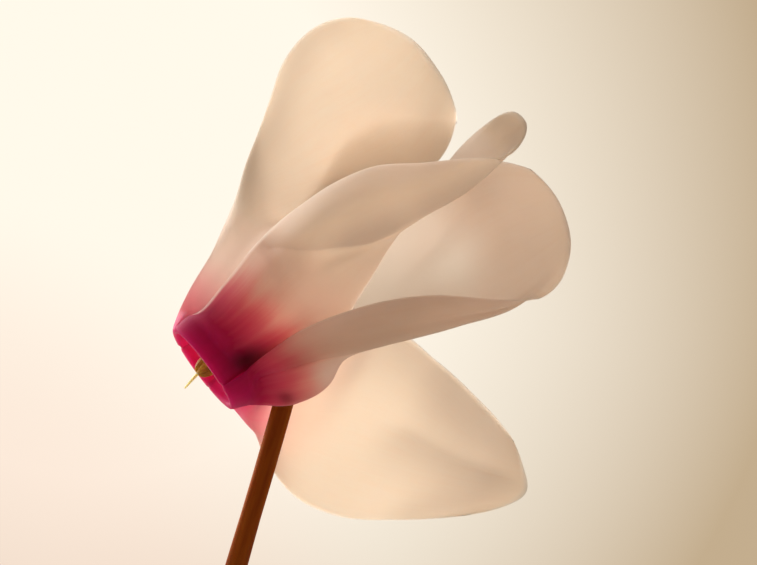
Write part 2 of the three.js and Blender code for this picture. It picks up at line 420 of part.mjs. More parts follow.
// pot
{
  const inner = (z) => POT_BASE_R - POT_WALL + (POT_BODY_R - POT_BASE_R) * z / (POT_H - POT_RIM_H);
  const zr = POT_H - POT_RIM_H;
  const P = [[0, 0], [POT_BASE_R - 1.5, 0], [POT_BASE_R + 0.2, 1.6], [POT_BODY_R, zr], [POT_RIM_R - 1.6, zr + 0.4], [POT_RIM_R - 0.5, zr + 2],
    [POT_RIM_R, POT_H - 2], [POT_RIM_R - 1.4, POT_H], [inner(POT_H) + 1.6, POT_H], [inner(POT_H), POT_H - 1.8], [inner(POT_FLOOR) + 0.3, POT_FLOOR + 3],
    [inner(POT_FLOOR) - 3, POT_FLOOR], [0, POT_FLOOR]];
  let pot = toSolid(turned(P, 28));
  for (let i = 0; i < HOLE_COUNT; i++) {
    const c = polar(HOLE_RING_R, 45 + 90 * i, 0);
    const hole = turned([[0, -3], [HOLE_R, -3], [HOLE_R, POT_FLOOR + 3], [0, POT_FLOOR + 3]], 12, [c, V(1, 0, 0), V(0, 1, 0), V(0, 0, 1)]);
    pot = pot.subtract(toSolid(hole));
  }
  add('pot', fromSolid(pot), 'terracotta');

  // compost fills the pot and leaves a hollow for the corm
  const ci = (z) => inner(z) - GAP - 0.25;
  const bump = (a, i) => 0.7 * Math.sin(3 * a + i * 2.1) + 0.5 * Math.sin(7 * a + i * 1.3);
  const C = [[0, POT_FLOOR + GAP], [ci(POT_FLOOR) - 3.4, POT_FLOOR + GAP], [ci(POT_FLOOR + 3), POT_FLOOR + 3.4], [ci(COMPOST_Z), COMPOST_Z - 0.6],
    [45, COMPOST_Z], [37, COMPOST_Z + 0.3], [30, COMPOST_Z + 0.2], ...[0.5, 0.2, -0.2, -0.55, -0.9, -1.2].map((t) => [(CORM_R + 0.9) * Math.cos(t), CORM_Z + (CORM_H + 0.9) * Math.sin(t)]), [0, CORM_Z - CORM_H - 0.9]];
  add('compost', turned(C, 32, undefined, (r, z, a, i) => (i >= 4 && i <= 6 ? [r, z + bump(a, i)] : [r, z])), 'compost');

  const K = [[0, CORM_Z - CORM_H]];
  for (let i = 1; i < 9; i++) { const t = Math.PI * (i / 9 - 0.5); K.push([CORM_R * Math.cos(t), CORM_Z + CORM_H * Math.sin(t)]); }
  K.push([0, CORM_Z + CORM_H]);
  add('corm', turned(K, 20, undefined, (r, z, a, i) => [r * (1 - 0.02 * (1 + Math.sin(3 * a + i))), z]), 'corm');
}

// leaves
LEAVES.forEach((l, i) => add(`leaf_${String(i + 1).padStart(2, '0')}`, leaf(leafSpec(l, i)), 'leaf'));

// the tall bloom
const at = (x, y, z) => V(BLOOM[0] + x, BLOOM[1] + y, BLOOM[2] + z);
{
  const f = bloomFrame(at(-21.94, 0, -10.81), V(0.78164, 0.21303, 0.58623));
  f.UP = V(-0.6, 0, 0.8);
  f.FR = V().crossVectors(f.AX, f.UP);
  const names = { A: 1, B: 2, C: 3, D: 4, E: 5 };
  for (const [key, n] of Object.entries(names)) {
    const across = PETALS[key][0].length;
    const rows = [...tubeRows(f, ...SHARE[key], 1, across, FOLD[key]), ...PETALS[key].map((r) => r.map((p) => at(...p)))];
    const R = rows.length;
    const us = [0, 1, 2, 3, 4, 5, 6, 7];
    for (let i = 8; i < R; i++) us.push(i);
    add(`bloom_1_petal_${n}`, sheet(patch(rows, us, across), PETAL_T), 'petal');
  }
  add('bloom_1_calyx', calyx(f, 1), 'calyx');
  const cone = [[0, 6.6], [1.7, 6.4], [1.9, 4.4], [1.55, 2.2], [1.15, 0.6], [0.8, -0.15], [0, -0.65]];
  add('bloom_1_anther_cone', turned(cone, 10, [f.mouth, f.FR, f.UP, f.AX]), 'pistil');
  const tip = V().copy(f.mouth).addScaledVector(f.AX, -1.0), end = at(-24.2, -0.6, -13.2);
  add('bloom_1_style', stem([tip, V().copy(tip).lerp(end, 0.5), end], [0.28, 0.24, 0.2], 6), 'pistil');
  // stalk: up from the crown, past the rim between two petals, then hooked over into the calyx
  const P = [V(1.2, -1, onCorm(1.5, 2) + 0.2), V(2.6, -2.5, 135), V(7.5, -5.4, 190), V(14.2, -7.6, 228), V(24.19, -8.8, 264.7),
    at(-14.12, 1.2, -22.8), at(-11.8, 1.3, -14.5), at(-9.9, 1.6, -7.0), at(-10.6, 2.0, -2.6), at(-12.6, 1.8, -2.4), at(-14.55, 1.25, -5.25)];
  const path = curve(P, 34);
  add('bloom_1_stalk', stem(path, path.map((p, i) => (i > 25 ? mix(STALK_R, STALK_TOP_R, clamp01((i - 25) / 3.5)) : mix(STALK_R * 1.15, STALK_R, clamp01(i / 24)))), 8), 'stalk');
}

// the other blooms
BLOOMS.forEach(([az, reach, z, rise, k, vary], n) => {
  const name = `bloom_${n + 2}`, mouth = polar(reach, az, z), h = polar(-1, az, 0);
  const f = bloomFrame(mouth, V(h.x * Math.cos(rad(rise)), h.y * Math.cos(rad(rise)), Math.sin(rad(rise))));
  for (let i = 0; i < 5; i++) {
    const rows = noddingRows(f, k, i, vary);
    add(`${name}_petal_${i + 1}`, sheet(patch(rows, [0, 2, 4, 5, 7, 8, 9, 10, 11, 12, 13, 14], 4), PETAL_T), 'petal');
  }
  add(`${name}_calyx`, calyx(f, k), 'calyx');
  const pistil = [[0, 6.4], [1.6, 6.2], [1.7, 4.2], [1.3, 2.0], [0.6, 0.4], [0.3, 0], [0.25, -1.6], [0, -1.7]];
  add(`${name}_pistil`, turned(pistil.map(([r, s]) => [r * k, s * k]), 8, [f.mouth, f.FR, f.UP, f.AX]), 'pistil');
  const side = (s, r) => inBloom(f, s * k, r * k, -99);
  const foot = polar(6, az, onCorm(6, 1.8) + 0.2);
  const P = [foot, polar(7.6, az, 135), polar(12.5, az, 160), polar(20, az, 178), side(-3, 11.2), side(4, 9.4), side(9.5, 6.6), side(13.0, 3.2), side(12.4, 0.3), side(9.8, 0)];
  const path = curve(P, 26);
  add(`${name}_stalk`, stem(path, path.map((p, i) => mix(1.6, 1.25, clamp01(i / 24))), 7), 'stalk');
});

// buds
BUDS.forEach(([az, reach, z, len, r], n) => {
  const foot = polar(6, az, onCorm(6, 1.7) + 0.2);
  const neck = polar(reach, az, z - 4), d = polar(0.42, az, -0.9).normalize();
  const P = [foot, polar(7.8, az, 138), polar(12, az, z - 26), polar(reach - 5.5, az, z - 3), polar(reach - 2.6, az, z + 0.6), V().copy(neck).addScaledVector(d, -0.2)];
  const path = curve(P, 16);
  add(`bud_${n + 1}_stalk`, stem(path, path.map((p, i) => mix(1.45, 1.05, clamp01(i / 14))), 6), 'stalk');
  const prof = [[0, 0.1], [0.42, 0.12], [0.86, 0.3], [1.0, 0.5], [0.84, 0.68], [0.46, 0.87], [0, 1]];
  const u = V(-Math.sin(rad(az)), Math.cos(rad(az)), 0), w = V().crossVectors(d, u);
  const O = V().copy(neck).addScaledVector(d, GAP + 0.2 - 0.1 * len);
  add(`bud_${n + 1}`, turned(prof.map(([q, s]) => [q * r, s * len]), 10, [O, u, w, d], (q, s, a) => [q * (1 + 0.09 * Math.cos(5 * a + s * 0.25)), s]), 'bud');
});

export default root;
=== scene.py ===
# Potted cyclamen: the looks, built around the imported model. Lengths in the constants are millimetres.
import math

import bmesh
import bpy
import numpy as np
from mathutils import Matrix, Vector


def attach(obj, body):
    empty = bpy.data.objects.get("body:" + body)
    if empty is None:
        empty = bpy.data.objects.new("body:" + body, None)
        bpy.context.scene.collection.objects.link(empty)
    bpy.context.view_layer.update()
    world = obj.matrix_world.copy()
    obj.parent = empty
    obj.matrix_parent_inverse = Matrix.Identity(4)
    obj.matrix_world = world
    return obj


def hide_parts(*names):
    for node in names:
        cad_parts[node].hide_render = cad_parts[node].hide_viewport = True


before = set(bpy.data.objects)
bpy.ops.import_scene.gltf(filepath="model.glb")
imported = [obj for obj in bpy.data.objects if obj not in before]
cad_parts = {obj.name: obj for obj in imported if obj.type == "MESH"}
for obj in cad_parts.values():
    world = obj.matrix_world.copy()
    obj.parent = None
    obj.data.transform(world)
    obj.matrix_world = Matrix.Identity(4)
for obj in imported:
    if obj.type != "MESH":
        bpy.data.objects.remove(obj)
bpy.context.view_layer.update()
MM = 0.001
scene = bpy.context.scene

# ---- sizes, the same as the CAD's -----------------------------------------------------------
POT_H, POT_BASE_R, POT_BODY_R, POT_RIM_R, POT_RIM_H = 105, 42, 55, 61, 22
POT_WALL, POT_FLOOR, HOLE_R, HOLE_RING_R = 5, 6, 4, 24
COMPOST_Z, CORM_R, CORM_H, CORM_Z, GAP = 94, 24, 13, 87, 0.3
PETIOLE_R, STALK_R, STALK_TOP_R = 1.35, 1.60, 1.28
BLOOM = np.array([42.0, -10.0, 300.0])
TUBE = [(7.0, 2.4), (5.2, 4.0), (2.8, 5.0), (0.9, 5.45), (0.05, 5.72), (0.1, 6.02), (0.9, 6.25), (2.2, 6.45)]
PETALS = {
    "A": [
    [[-22.3, -2.7, -3.7], [-21.3, -4.4, -4.4], [-20.3, -5.5, -5.3], [-19.2, -6.1, -6.7], [-18.1, -6.1, -8.0], [-17.1, -5.4, -9.5], [-16.3, -4.3, -10.9]],
    [[-19.0, -3.2, -0.1], [-17.9, -5.4, -1.2], [-16.7, -7.1, -2.5], [-15.3, -7.9, -4.1], [-13.9, -7.7, -5.7], [-12.7, -6.4, -7.3], [-11.4, -4.7, -8.7]],
    [[-14.3, -5.2, 5.6], [-13.1, -7.5, 4.1], [-11.8, -9.2, 2.5], [-10.3, -9.9, 0.4], [-8.8, -9.0, -1.6], [-6.9, -7.2, -3.7], [-4.7, -5.2, -5.5]],
    [[-8.9, -8.6, 9.9], [-8.3, -12.6, 7.2], [-7.4, -11.6, 4.7], [-6.1, -10.0, 3.1], [-4.8, -9.7, 1.6], [-3.3, -8.2, 0.1], [-1.9, -5.8, -1.0]],
    [[-2.2, -11.0, 13.4], [-2.3, -14.4, 10.3], [-1.8, -13.8, 7.3], [-0.9, -11.0, 4.8], [0.1, -9.6, 4.4], [0.8, -7.8, 4.4], [1.4, -5.2, 4.6]],
    [[5.6, -12.6, 14.3], [5.1, -14.4, 12.1], [5.1, -14.0, 10.0], [5.6, -11.8, 8.2], [6.0, -8.8, 8.8], [6.3, -6.0, 10.4], [6.5, -3.6, 12.2]],
    [[11.0, -14.0, 14.8], [11.0, -13.8, 13.8], [11.1, -13.1, 12.6], [11.5, -11.7, 11.7], [11.5, -9.8, 12.9], [11.0, -8.2, 14.9], [10.2, -7.0, 16.8]],
    [[14.4, -14.0, 14.5], [15.6, -12.9, 15.3], [16.9, -11.9, 16.4], [17.8, -11.0, 18.0], [17.7, -10.1, 19.6], [16.3, -9.3, 20.7], [14.2, -8.2, 19.9]],
  ],
    "B": [
    [[-15.8, -5.7, -10.4], [-15.6, -5.7, -11.0], [-15.5, -5.5, -11.6], [-15.3, -5.0, -12.2], [-15.1, -3.6, -13.2], [-14.8, -2.0, -14.2], [-14.5, -0.4, -15.3]],
    [[-12.2, -8.3, -7.6], [-11.9, -8.9, -8.6], [-11.6, -9.3, -9.5], [-11.2, -9.2, -10.5], [-10.7, -6.8, -11.9], [-10.3, -4.4, -13.5], [-10.1, -1.8, -15.0]],
    [[-8.6, -11.3, -5.4], [-8.2, -12.3, -6.5], [-7.6, -12.9, -7.8], [-6.9, -12.6, -9.1], [-6.4, -9.2, -10.5], [-5.9, -6.2, -11.6], [-5.9, -3.1, -12.1]],
    [[-4.3, -14.2, -3.6], [-4.1, -15.4, -4.9], [-3.6, -15.4, -6.6], [-2.8, -13.8, -8.3], [-2.8, -9.6, -8.2], [-3.6, -6.0, -6.9], [-4.9, -2.8, -5.0]],
    [[0.9, -15.6, -2.2], [1.1, -16.8, -3.8], [1.6, -16.6, -5.5], [2.7, -14.8, -6.8], [2.2, -8.8, -4.3], [0.4, -3.4, -0.7], [-2.6, 0.8, 2.6]],
    [[7.3, -15.6, -1.6], [7.7, -16.5, -2.8], [8.5, -16.0, -4.1], [9.6, -14.2, -4.8], [9.0, -7.6, -0.2], [7.1, -2.8, 4.9], [4.3, 0.8, 10.0]],
    [[13.9, -14.2, -2.0], [14.8, -13.9, -2.6], [16.0, -13.2, -2.6], [17.1, -11.6, -1.9], [16.2, -6.4, 4.1], [14.2, -2.8, 9.8], [11.1, -0.2, 14.9]],
    [[19.1, -12.6, -2.0], [21.0, -11.6, -0.9], [22.4, -10.6, 1.0], [23.3, -9.4, 4.2], [23.0, -7.2, 7.5], [21.6, -5.2, 10.9], [18.8, -3.6, 14.0]],
  ],
    "C": [
    [[-22.7, 5.8, -3.4], [-23.7, 3.6, -2.2], [-23.9, 1.2, -1.8], [-23.1, -0.6, -2.6], [-21.8, -1.4, -3.8]],
    [[-20.1, 6.4, 5.0], [-20.8, 3.8, 4.1], [-20.5, 1.0, 3.6], [-18.9, -0.6, 2.6], [-16.5, -1.4, 1.1]],
    [[-17.6, 7.4, 11.0], [-18.3, 4.6, 9.6], [-17.4, 2.2, 8.1], [-15.3, 0.6, 6.5], [-12.5, -0.6, 4.9]],
    [[-16.1, 9.0, 17.1], [-16.4, 6.8, 14.6], [-13.8, 5.0, 11.4], [-11.2, 4.2, 8.2], [-9.1, 8.4, 11.6]],
    [[-14.2, 10.4, 23.3], [-12.7, 9.6, 19.2], [-9.0, 7.8, 13.1], [-5.5, 8.6, 11.5], [-5.3, 14.6, 18.9]],
    [[-12.3, 11.6, 28.8], [-8.9, 12.6, 23.8], [-3.4, 11.4, 15.6], [1.2, 11.4, 13.2], [-1.1, 18.0, 21.5]],
    [[-9.2, 14.4, 32.9], [-4.3, 15.2, 26.9], [2.5, 13.8, 18.9], [7.0, 13.4, 15.3], [5.2, 18.2, 21.5]],
    [[-3.5, 16.6, 35.0], [3.9, 16.6, 32.5], [8.2, 15.2, 27.4], [10.0, 14.6, 23.1], [10.1, 15.2, 20.8]],
  ],
    "D": [
    [[-14.6, 1.6, -15.0], [-15.3, 2.4, -16.1], [-16.1, 3.8, -17.3], [-16.4, 6.0, -18.2], [-16.1, 8.4, -18.4]],
    [[-13.1, 3.8, -14.6], [-13.8, 5.0, -16.1], [-14.5, 6.4, -17.7], [-15.2, 8.0, -19.3], [-15.6, 10.4, -20.4]],
    [[-9.4, 6.6, -12.5], [-10.6, 8.0, -15.1], [-12.2, 9.2, -18.2], [-13.9, 10.6, -21.0], [-15.0, 12.6, -22.3]],
    [[-4.1, 9.6, -9.2], [-6.0, 10.8, -13.9], [-8.8, 11.6, -18.9], [-11.7, 12.6, -22.9], [-13.7, 14.2, -24.9]],
    [[1.8, 12.6, -6.4], [-0.6, 13.2, -13.2], [-4.1, 13.6, -19.9], [-7.8, 14.2, -25.1], [-10.6, 15.2, -28.4]],
    [[7.7, 15.4, -10.3], [5.2, 15.4, -16.2], [1.6, 15.0, -22.2], [-2.0, 15.4, -27.4], [-5.1, 16.2, -30.8]],
    [[14.4, 18.2, -16.6], [11.6, 17.4, -20.8], [8.4, 17.2, -24.9], [5.5, 17.4, -28.9], [2.8, 17.6, -31.4]],
    [[17.9, 20.2, -21.1], [19.1, 19.4, -24.0], [19.7, 18.8, -27.6], [17.1, 18.8, -29.6], [11.6, 18.4, -30.9]],
  ],
    "E": [
    [[-18.3, 7.4, -10.2], [-18.8, 8.0, -9.2], [-19.3, 8.2, -8.0], [-19.9, 7.8, -6.6], [-20.8, 6.6, -5.3]],
    [[-12.0, 9.0, -8.0], [-13.3, 10.6, -6.7], [-14.6, 11.2, -4.9], [-15.9, 10.8, -3.0], [-17.1, 9.6, -1.2]],
    [[-7.0, 12.0, -4.6], [-8.4, 14.0, -2.3], [-10.0, 14.8, 0.3], [-11.6, 14.4, 2.7], [-13.1, 12.6, 4.2]],
    [[-1.1, 15.4, -2.8], [-2.4, 17.4, 0.1], [-4.0, 18.6, 3.3], [-5.8, 18.4, 6.2], [-7.5, 16.6, 8.8]],
    [[4.5, 19.2, 0.1], [3.1, 21.2, 3.0], [1.5, 22.2, 6.6], [-0.3, 22.2, 10.0], [-2.2, 21.0, 12.4]],
    [[8.0, 23.2, 3.3], [7.2, 24.6, 6.7], [5.9, 25.6, 9.8], [4.0, 25.6, 12.7], [2.0, 25.0, 14.3]],
    [[9.5, 27.0, 6.6], [9.8, 28.0, 9.6], [9.0, 28.4, 12.1], [7.0, 28.4, 13.9], [5.1, 28.0, 14.7]],
  ],
}
SHARE = {"A": (76, -32), "B": (-32, -97), "C": (138, 76), "D": (-97, -160), "E": (204, 138)}
FOLD = {
    "A": [[(0.9, 6.10), (0.9, 6.25)], [(2.2, 6.05), (2.2, 6.4)]],
    "B": [[(0.9, 6.25), (0.45, 6.35)], [(2.2, 6.4), (1.3, 7.0)]],
    "C": [[(0.4, 6.55), (0.5, 6.35)], [(1.3, 7.6), (1.7, 6.9)]],
    "D": [[(0.7, 6.2), (0.25, 6.3)], [(1.9, 6.4), (0.4, 7.1)]],
    "E": [[(0.8, 6.2), (0.8, 6.2)], [(2.0, 6.5), (2.0, 6.5)]],
}
# folds in the tall bloom's petals, with painted light and shade along them: line as (row, place across), where along
# the rows it comes and goes, valley depth and its reach to either side in mm, how much and how far painted shade
# deepens to either side of the crease, and a soft band of painted shade (painted light where negative) with its reach
# to either side
FOLDS = {
    "A": [dict(line=[(9.7, -1.15), (10.0, -0.68), (10.5, -0.40), (11.0, -0.20), (11.5, -0.08), (12.0, 0.0), (12.6, 0.02)],
               ends=(9.75, 10.05, 12.3, 12.9), valley=(1.3, 3.2, 2.2), tone=(0.50, 3.8, 0.0, 0.35)),
          dict(line=[(10.2, -0.85), (11.5, -0.72), (12.5, -0.95), (13.6, -0.98)], ends=(9.8, 11.0, 13.2, 14.4), soft_painted_shading=(-0.62, 2.6, 2.8)),
          dict(line=[(11.4, -0.1), (14.6, -0.05)], ends=(10.8, 12.0, 14.2, 15.2), soft_painted_shading=(0.62, 4.6, 0.8)),
          dict(line=[(13.2, 0.8), (14.2, 0.8)], ends=(12.9, 13.5, 14.0, 14.8), soft_painted_shading=(-1.0, 3.4, 3.4)),
          dict(line=[(14.7, 0.5), (15.0, 0.5)], ends=(14.3, 14.9, 15.6, 16.0), soft_painted_shading=(0.55, 5.0, 5.0)),
          dict(line=[(9.6, 0.4), (10.0, 0.4), (11.0, 0.6), (12.0, 0.6)], ends=(9.2, 9.8, 11.5, 12.5), soft_painted_shading=(0.62, 6.5, 6.0)),
          dict(line=[(13.0, -0.3), (14.0, -0.2)], ends=(12.6, 13.2, 13.8, 14.6), soft_painted_shading=(0.20, 4.0, 4.0))],
    "B": [dict(line=[(7.6, 0.0), (11.2, 0.0)], ends=(7.7, 8.3, 10.9, 11.3), valley=(1.0, 1.6, 2.2)),
          dict(line=[(7.6, 0.0), (15.0, 0.0)], ends=(8.5, 9.5, 13.0, 15.0), tone=(0.68, 9.0, 0.0, 0.35)),
          dict(line=[(9.9, 0.4), (11.2, 0.45)], ends=(9.4, 10.3, 10.7, 12.0), soft_painted_shading=(-0.9, 3.0, 6.0)),
          dict(line=[(11.6, 0.85), (12.3, 0.65), (13.2, 0.5)], ends=(11.0, 11.8, 13.0, 14.0), soft_painted_shading=(-1.0, 5.0, 8.0)),
          dict(line=[(12.0, 0.58), (13.1, 0.66), (13.75, 0.76), (14.5, 0.86)], ends=(12.0, 12.8, 13.6, 14.6), valley=(0.5, 2.2, 2.2), soft_painted_shading=(0.35, 2.0, 2.4))],
    "C": [dict(line=[(9.0, -0.6), (11.0, -0.5), (12.0, -0.66), (13.0, -0.82), (14.0, -1.0), (15.0, -1.1)], ends=(9.0, 11.0, 14.4, 15.0), soft_painted_shading=(0.50, 3.4, 3.6)),
          dict(line=[(11.0, 0.86), (15.0, 0.86)], ends=(10.5, 11.5, 16.0, 17.0), soft_painted_shading=(-0.65, 3.0, 4.5)),
          dict(line=[(11.0, 0.5), (12.2, 0.3)], ends=(10.4, 11.2, 12.0, 13.0), soft_painted_shading=(0.40, 5.0, 4.5)),
          dict(line=[(7.0, 0.0), (10.0, 0.1)], ends=(6.9, 7.6, 8.8, 10.6), soft_painted_shading=(-1.0, 9.0, 9.0)),
          dict(line=[(13.6, 0.2), (15.0, 0.1)], ends=(13.8, 14.6, 16.0, 17.0), soft_painted_shading=(0.40, 3.0, 3.5))],
    "D": [dict(line=[(12.3, -0.12), (13.0, -0.2), (13.8, -0.2), (14.9, -0.15)], ends=(12.2, 13.2, 14.5, 15.0), valley=(0.8, 2.2, 5.0), soft_painted_shading=(0.45, 0.9, 5.0)),
          dict(line=[(10.5, -0.95), (15.0, -0.85)], ends=(10.5, 11.5, 14.8, 16.0), soft_painted_shading=(0.95, 4.0, 6.5)),
          dict(line=[(9.0, 0.6), (11.0, 0.9)], ends=(8.6, 9.4, 10.6, 12.0), soft_painted_shading=(0.40, 4.0, 4.0)),
          dict(line=[(14.0, 0.7), (15.0, 0.3)], ends=(13.4, 14.2, 15.6, 16.0), soft_painted_shading=(0.45, 4.0, 5.0)),
          dict(line=[(11.6, -0.7), (12.8, -0.7)], ends=(11.0, 11.8, 12.6, 13.4), soft_painted_shading=(-0.32, 6.0, 6.0))],
}
REFLEXED = [
    (5.0, 8.2, 4.5, 12, 1.3), (10, 10.4, 5.6, 26, 1.7), (17, 12.8, 7.6, 44, 2.1), (25, 15.0, 8.6, 58, 2.3),
    (32, 17.0, 8.0, 68, 1.9), (37, 18.6, 6.0, 76, 1.2), (39.6, 19.6, 3.2, 80, 0.5)]
PETAL_ANGLES = (9, 81, 153, -135, -63)
PETAL_PARTING = (9, 0, -9, -18, 18)
OUTLINE = [(0, 1.0), (12, 0.955), (30, 0.9), (50, 0.86), (75, 0.81), (100, 0.76), (125, 0.7), (148, 0.59), (168, 0.42)]
LEAVES = [
  [4, 72, 133, 39, -24, 6], [55, 74, 129, 41, -28, -8], [108, 71, 135, 38, -22, 5], [158, 75, 130, 40, -27, -5],
  [211, 72, 134, 39, -25, 8], [262, 74, 128, 41, -29, -6], [313, 71, 134, 38, -23, 4],
  [30, 53, 149, 36, -16, -6], [88, 54, 146, 35, -18, 7], [147, 52, 150, 36, -14, -4], [209, 54, 147, 34, -19, -7],
  [269, 53, 150, 36, -15, 6], [329, 54, 146, 35, -17, 5],
  [8, 35, 163, 30, -8, 8], [82, 36, 160, 29, -10, -8], [151, 35, 164, 30, -6, 6], [224, 36, 161, 29, -9, -6], [296, 35, 163, 30, -7, 4],
]
BLOOMS = [
  [166, 42, 203, 58, 0.92, { "turn": 6, "open": 1.5, "width": 1.0, "twist": 4 }],
  [266, 46, 196, 62, 0.88, { "turn": -8, "open": 0.5, "width": 0.95, "twist": -4 }],
  [44, 47, 201, 56, 0.95, { "turn": 0, "open": 2.5, "width": 1.05, "twist": 0 }],
]
BUDS = [[112, 21, 198, 21, 3.3], [205, 24, 190, 19, 3.0], [330, 24, 193, 17, 2.7]]
# light: what the camera sees behind the plant, and what lights it
LOOK = {
    "bright_side": (-0.116, 1.0, 0.034), "seen_range": (0.9585, 0.9935), "seen_dim": (0.55, 0.42, 0.27), "seen_bright": (1.03, 0.955, 0.83),
    "corners": [((-0.22, 1.0, -0.20), 0.9713, 0.9925, (0.95, 0.86, 0.84)), ((0.22, 1.0, 0.20), 0.966, 0.992, (0.95, 0.93, 0.90))],
    "round_range": (0.80, 0.93), "seen_round": (0.86, 0.81, 0.72),
    "lit_side": (-0.6, 1.0, 0.30), "lit_range": (-0.3, 0.95), "lit_dim": (0.315, 0.237, 0.172), "lit_bright": (1.0, 0.92, 0.80), "lit_strength": 1.0,
}
LIGHTS = [
    ("back_light", (-1.45, 1.85, 1.15), (0.03, 0, 0.28), (1.7, 1.7), 80.0, (1.0, 0.93, 0.84)),
]



# ---- small maths ----------------------------------------------------------------------------
def V(*p):
    return np.array(p, float)


def unit(v):
    return v / (np.linalg.norm(v) + 1e-12)


def polar(r, deg, z):
    return V(r * math.cos(math.radians(deg)), r * math.sin(math.radians(deg)), z)


def smooth(x):
    x = np.clip(x, 0, 1)
    return x * x * (3 - 2 * x)


def on_corm(r, w):
    return CORM_Z + CORM_H * math.sqrt(max(0, 1 - (max(0, r - w) / CORM_R) ** 2)) + 0.45


class Noise:
    """Smooth seeded value noise in three dimensions, for shapes."""

    def __init__(self, seed):
        self.t = np.random.default_rng(seed).random((32, 32, 32))

    def __call__(self, p):
        p = np.asarray(p, float)
        i = np.floor(p).astype(int)
        f = p - i
        f = f * f * (3 - 2 * f)
        out = 0
        for dx in (0, 1):
            for dy in (0, 1):
                for dz in (0, 1):
                    w = (f[..., 0] if dx else 1 - f[..., 0]) * (f[..., 1] if dy else 1 - f[..., 1]) * (f[..., 2] if dz else 1 - f[..., 2])
                    out = out + w * self.t[(i[..., 0] + dx) % 32, (i[..., 1] + dy) % 32, (i[..., 2] + dz) % 32]
        return out * 2 - 1


noise = Noise(11)


# ---- smooth sheets through control rows -----------------------------------------------------
def slopes(P, t):
    d = (P[1:] - P[:-1]) / (t[1:] - t[:-1]).reshape(-1, *([1] * (P.ndim - 1)))
    M = np.zeros_like(P)
    h = (t[1:] - t[:-1]).reshape(-1, *([1] * (P.ndim - 1)))
    M[1:-1] = (d[:-1] * h[1:] + d[1:] * h[:-1]) / (h[:-1] + h[1:])
    M[0] = 2 * d[0] - M[1]
    M[-1] = 2 * d[-1] - M[-2]
    return M


def along(P, t, M, x):
    """P, M: rows first; x: positions; returns one row per position."""
    x = np.asarray(x, float)
    i = np.clip(np.searchsorted(t, x, side="right") - 1, 0, len(t) - 2)
    h = t[i + 1] - t[i]
    s = (x - t[i]) / h
    sh = (-1,) + (1,) * (P.ndim - 1)
    s, h = s.reshape(sh), h.reshape(sh)
    s2, s3 = s * s, s * s * s
    return (2 * s3 - 3 * s2 + 1) * P[i] + (s3 - 2 * s2 + s) * h * M[i] + (3 * s2 - 2 * s3) * P[i + 1] + (s3 - s2) * h * M[i + 1]


def patch(rows, us, nv):
    """A grid of points through control rows; us counts in rows. Returns the grid and how far along each row is, in mm."""
    C = np.array(rows, float)
    R = len(C)
    step = np.maximum(0.05, np.linalg.norm(C[1:] - C[:-1], axis=2).mean(1))
    t = np.concatenate([[0], np.cumsum(step)])
    us = np.asarray(us, float)
    i = np.clip(np.floor(us).astype(int), 0, R - 2)
    x = t[i] + (t[i + 1] - t[i]) * (us - i)
    r = along(C, t, slopes(C, t), x)
    tc = np.arange(C.shape[1], dtype=float)
    q = np.transpose(r, (1, 0, 2))
    g = along(q, tc, slopes(q, tc), np.linspace(0, tc[-1], nv))
    return np.transpose(g, (1, 0, 2)), x


def catmull(points, count):
    """Evenly spaced points on a centripetal Catmull-Rom curve."""
    P = [V(*p) for p in points]
    n, out = len(P), []
    for k in range(n - 1):
        p1, p2 = P[k], P[k + 1]
        p0 = P[k - 1] if k > 0 else 2 * P[0] - P[1]
        p3 = P[k + 2] if k + 2 < n else 2 * P[-1] - P[-2]
        d0, d1, d2 = (max(1e-4, np.linalg.norm(b - a)) ** 0.5 for a, b in ((p0, p1), (p1, p2), (p2, p3)))
        t1 = ((p1 - p0) / d0 - (p2 - p0) / (d0 + d1) + (p2 - p1) / d1) * d1
        t2 = ((p2 - p1) / d1 - (p3 - p1) / (d1 + d2) + (p3 - p2) / d2) * d1
        for s in np.linspace(0, 1, 60, endpoint=k == n - 2):
            s2, s3 = s * s, s ** 3
            out.append((2 * s3 - 3 * s2 + 1) * p1 + (s3 - 2 * s2 + s) * t1 + (3 * s2 - 2 * s3) * p2 + (s3 - s2) * t2)
    out = np.array(out)
    d = np.concatenate([[0], np.cumsum(np.linalg.norm(np.diff(out, axis=0), axis=1))])
    x = np.linspace(0, d[-1], count + 1)
    return np.stack([np.interp(x, d, out[:, k]) for k in range(3)], 1)


# ---- mesh parts: (points, quads, attributes, material index) -------------------------------
def grid_quads(nu, nv, base=0, wrap=False, flip=False):
    i, j = np.meshgrid(np.arange(nu - 1), np.arange(nv if wrap else nv - 1), indexing="ij")
    i, j = i.ravel(), j.ravel()
    k = (j + 1) % nv
    q = np.stack([i * nv + j, i * nv + k, (i + 1) * nv + k, (i + 1) * nv + j], 1) + base
    return q[:, ::-1] if flip else q


def normals(G):
    n = np.cross(np.gradient(G, axis=0), np.gradient(G, axis=1))
    return n / (np.linalg.norm(n, axis=2, keepdims=True) + 1e-12)


def sheet(G, half, attrs, mat=0):
    """Closes a grid of points into a thin body; half is half its thickness, a number or one per point."""
    nu, nv = G.shape[:2]
    n = normals(G)
    half = np.broadcast_to(np.asarray(half, float), (nu, nv))[..., None]
    pts = np.concatenate([(G + n * half).reshape(-1, 3), (G - n * half).reshape(-1, 3)])
    m = nu * nv
    q = [grid_quads(nu, nv, 0, flip=True), grid_quads(nu, nv, m)]
    loop = [(0, j) for j in range(nv - 1)] + [(i, nv - 1) for i in range(nu - 1)] + [(nu - 1, j) for j in range(nv - 1, 0, -1)] + [(i, 0) for i in range(nu - 1, 0, -1)]
    a = np.array([i * nv + j for i, j in loop])
    b = np.roll(a, -1)
    q.append(np.stack([a, b, b + m, a + m], 1))
    out = {k: np.concatenate([np.broadcast_to(v, (nu, nv)).ravel()] * 2) for k, v in attrs.items()}
    out["side"] = np.concatenate([np.zeros(m), np.ones(m)])
    return pts, np.concatenate(q), out, mat


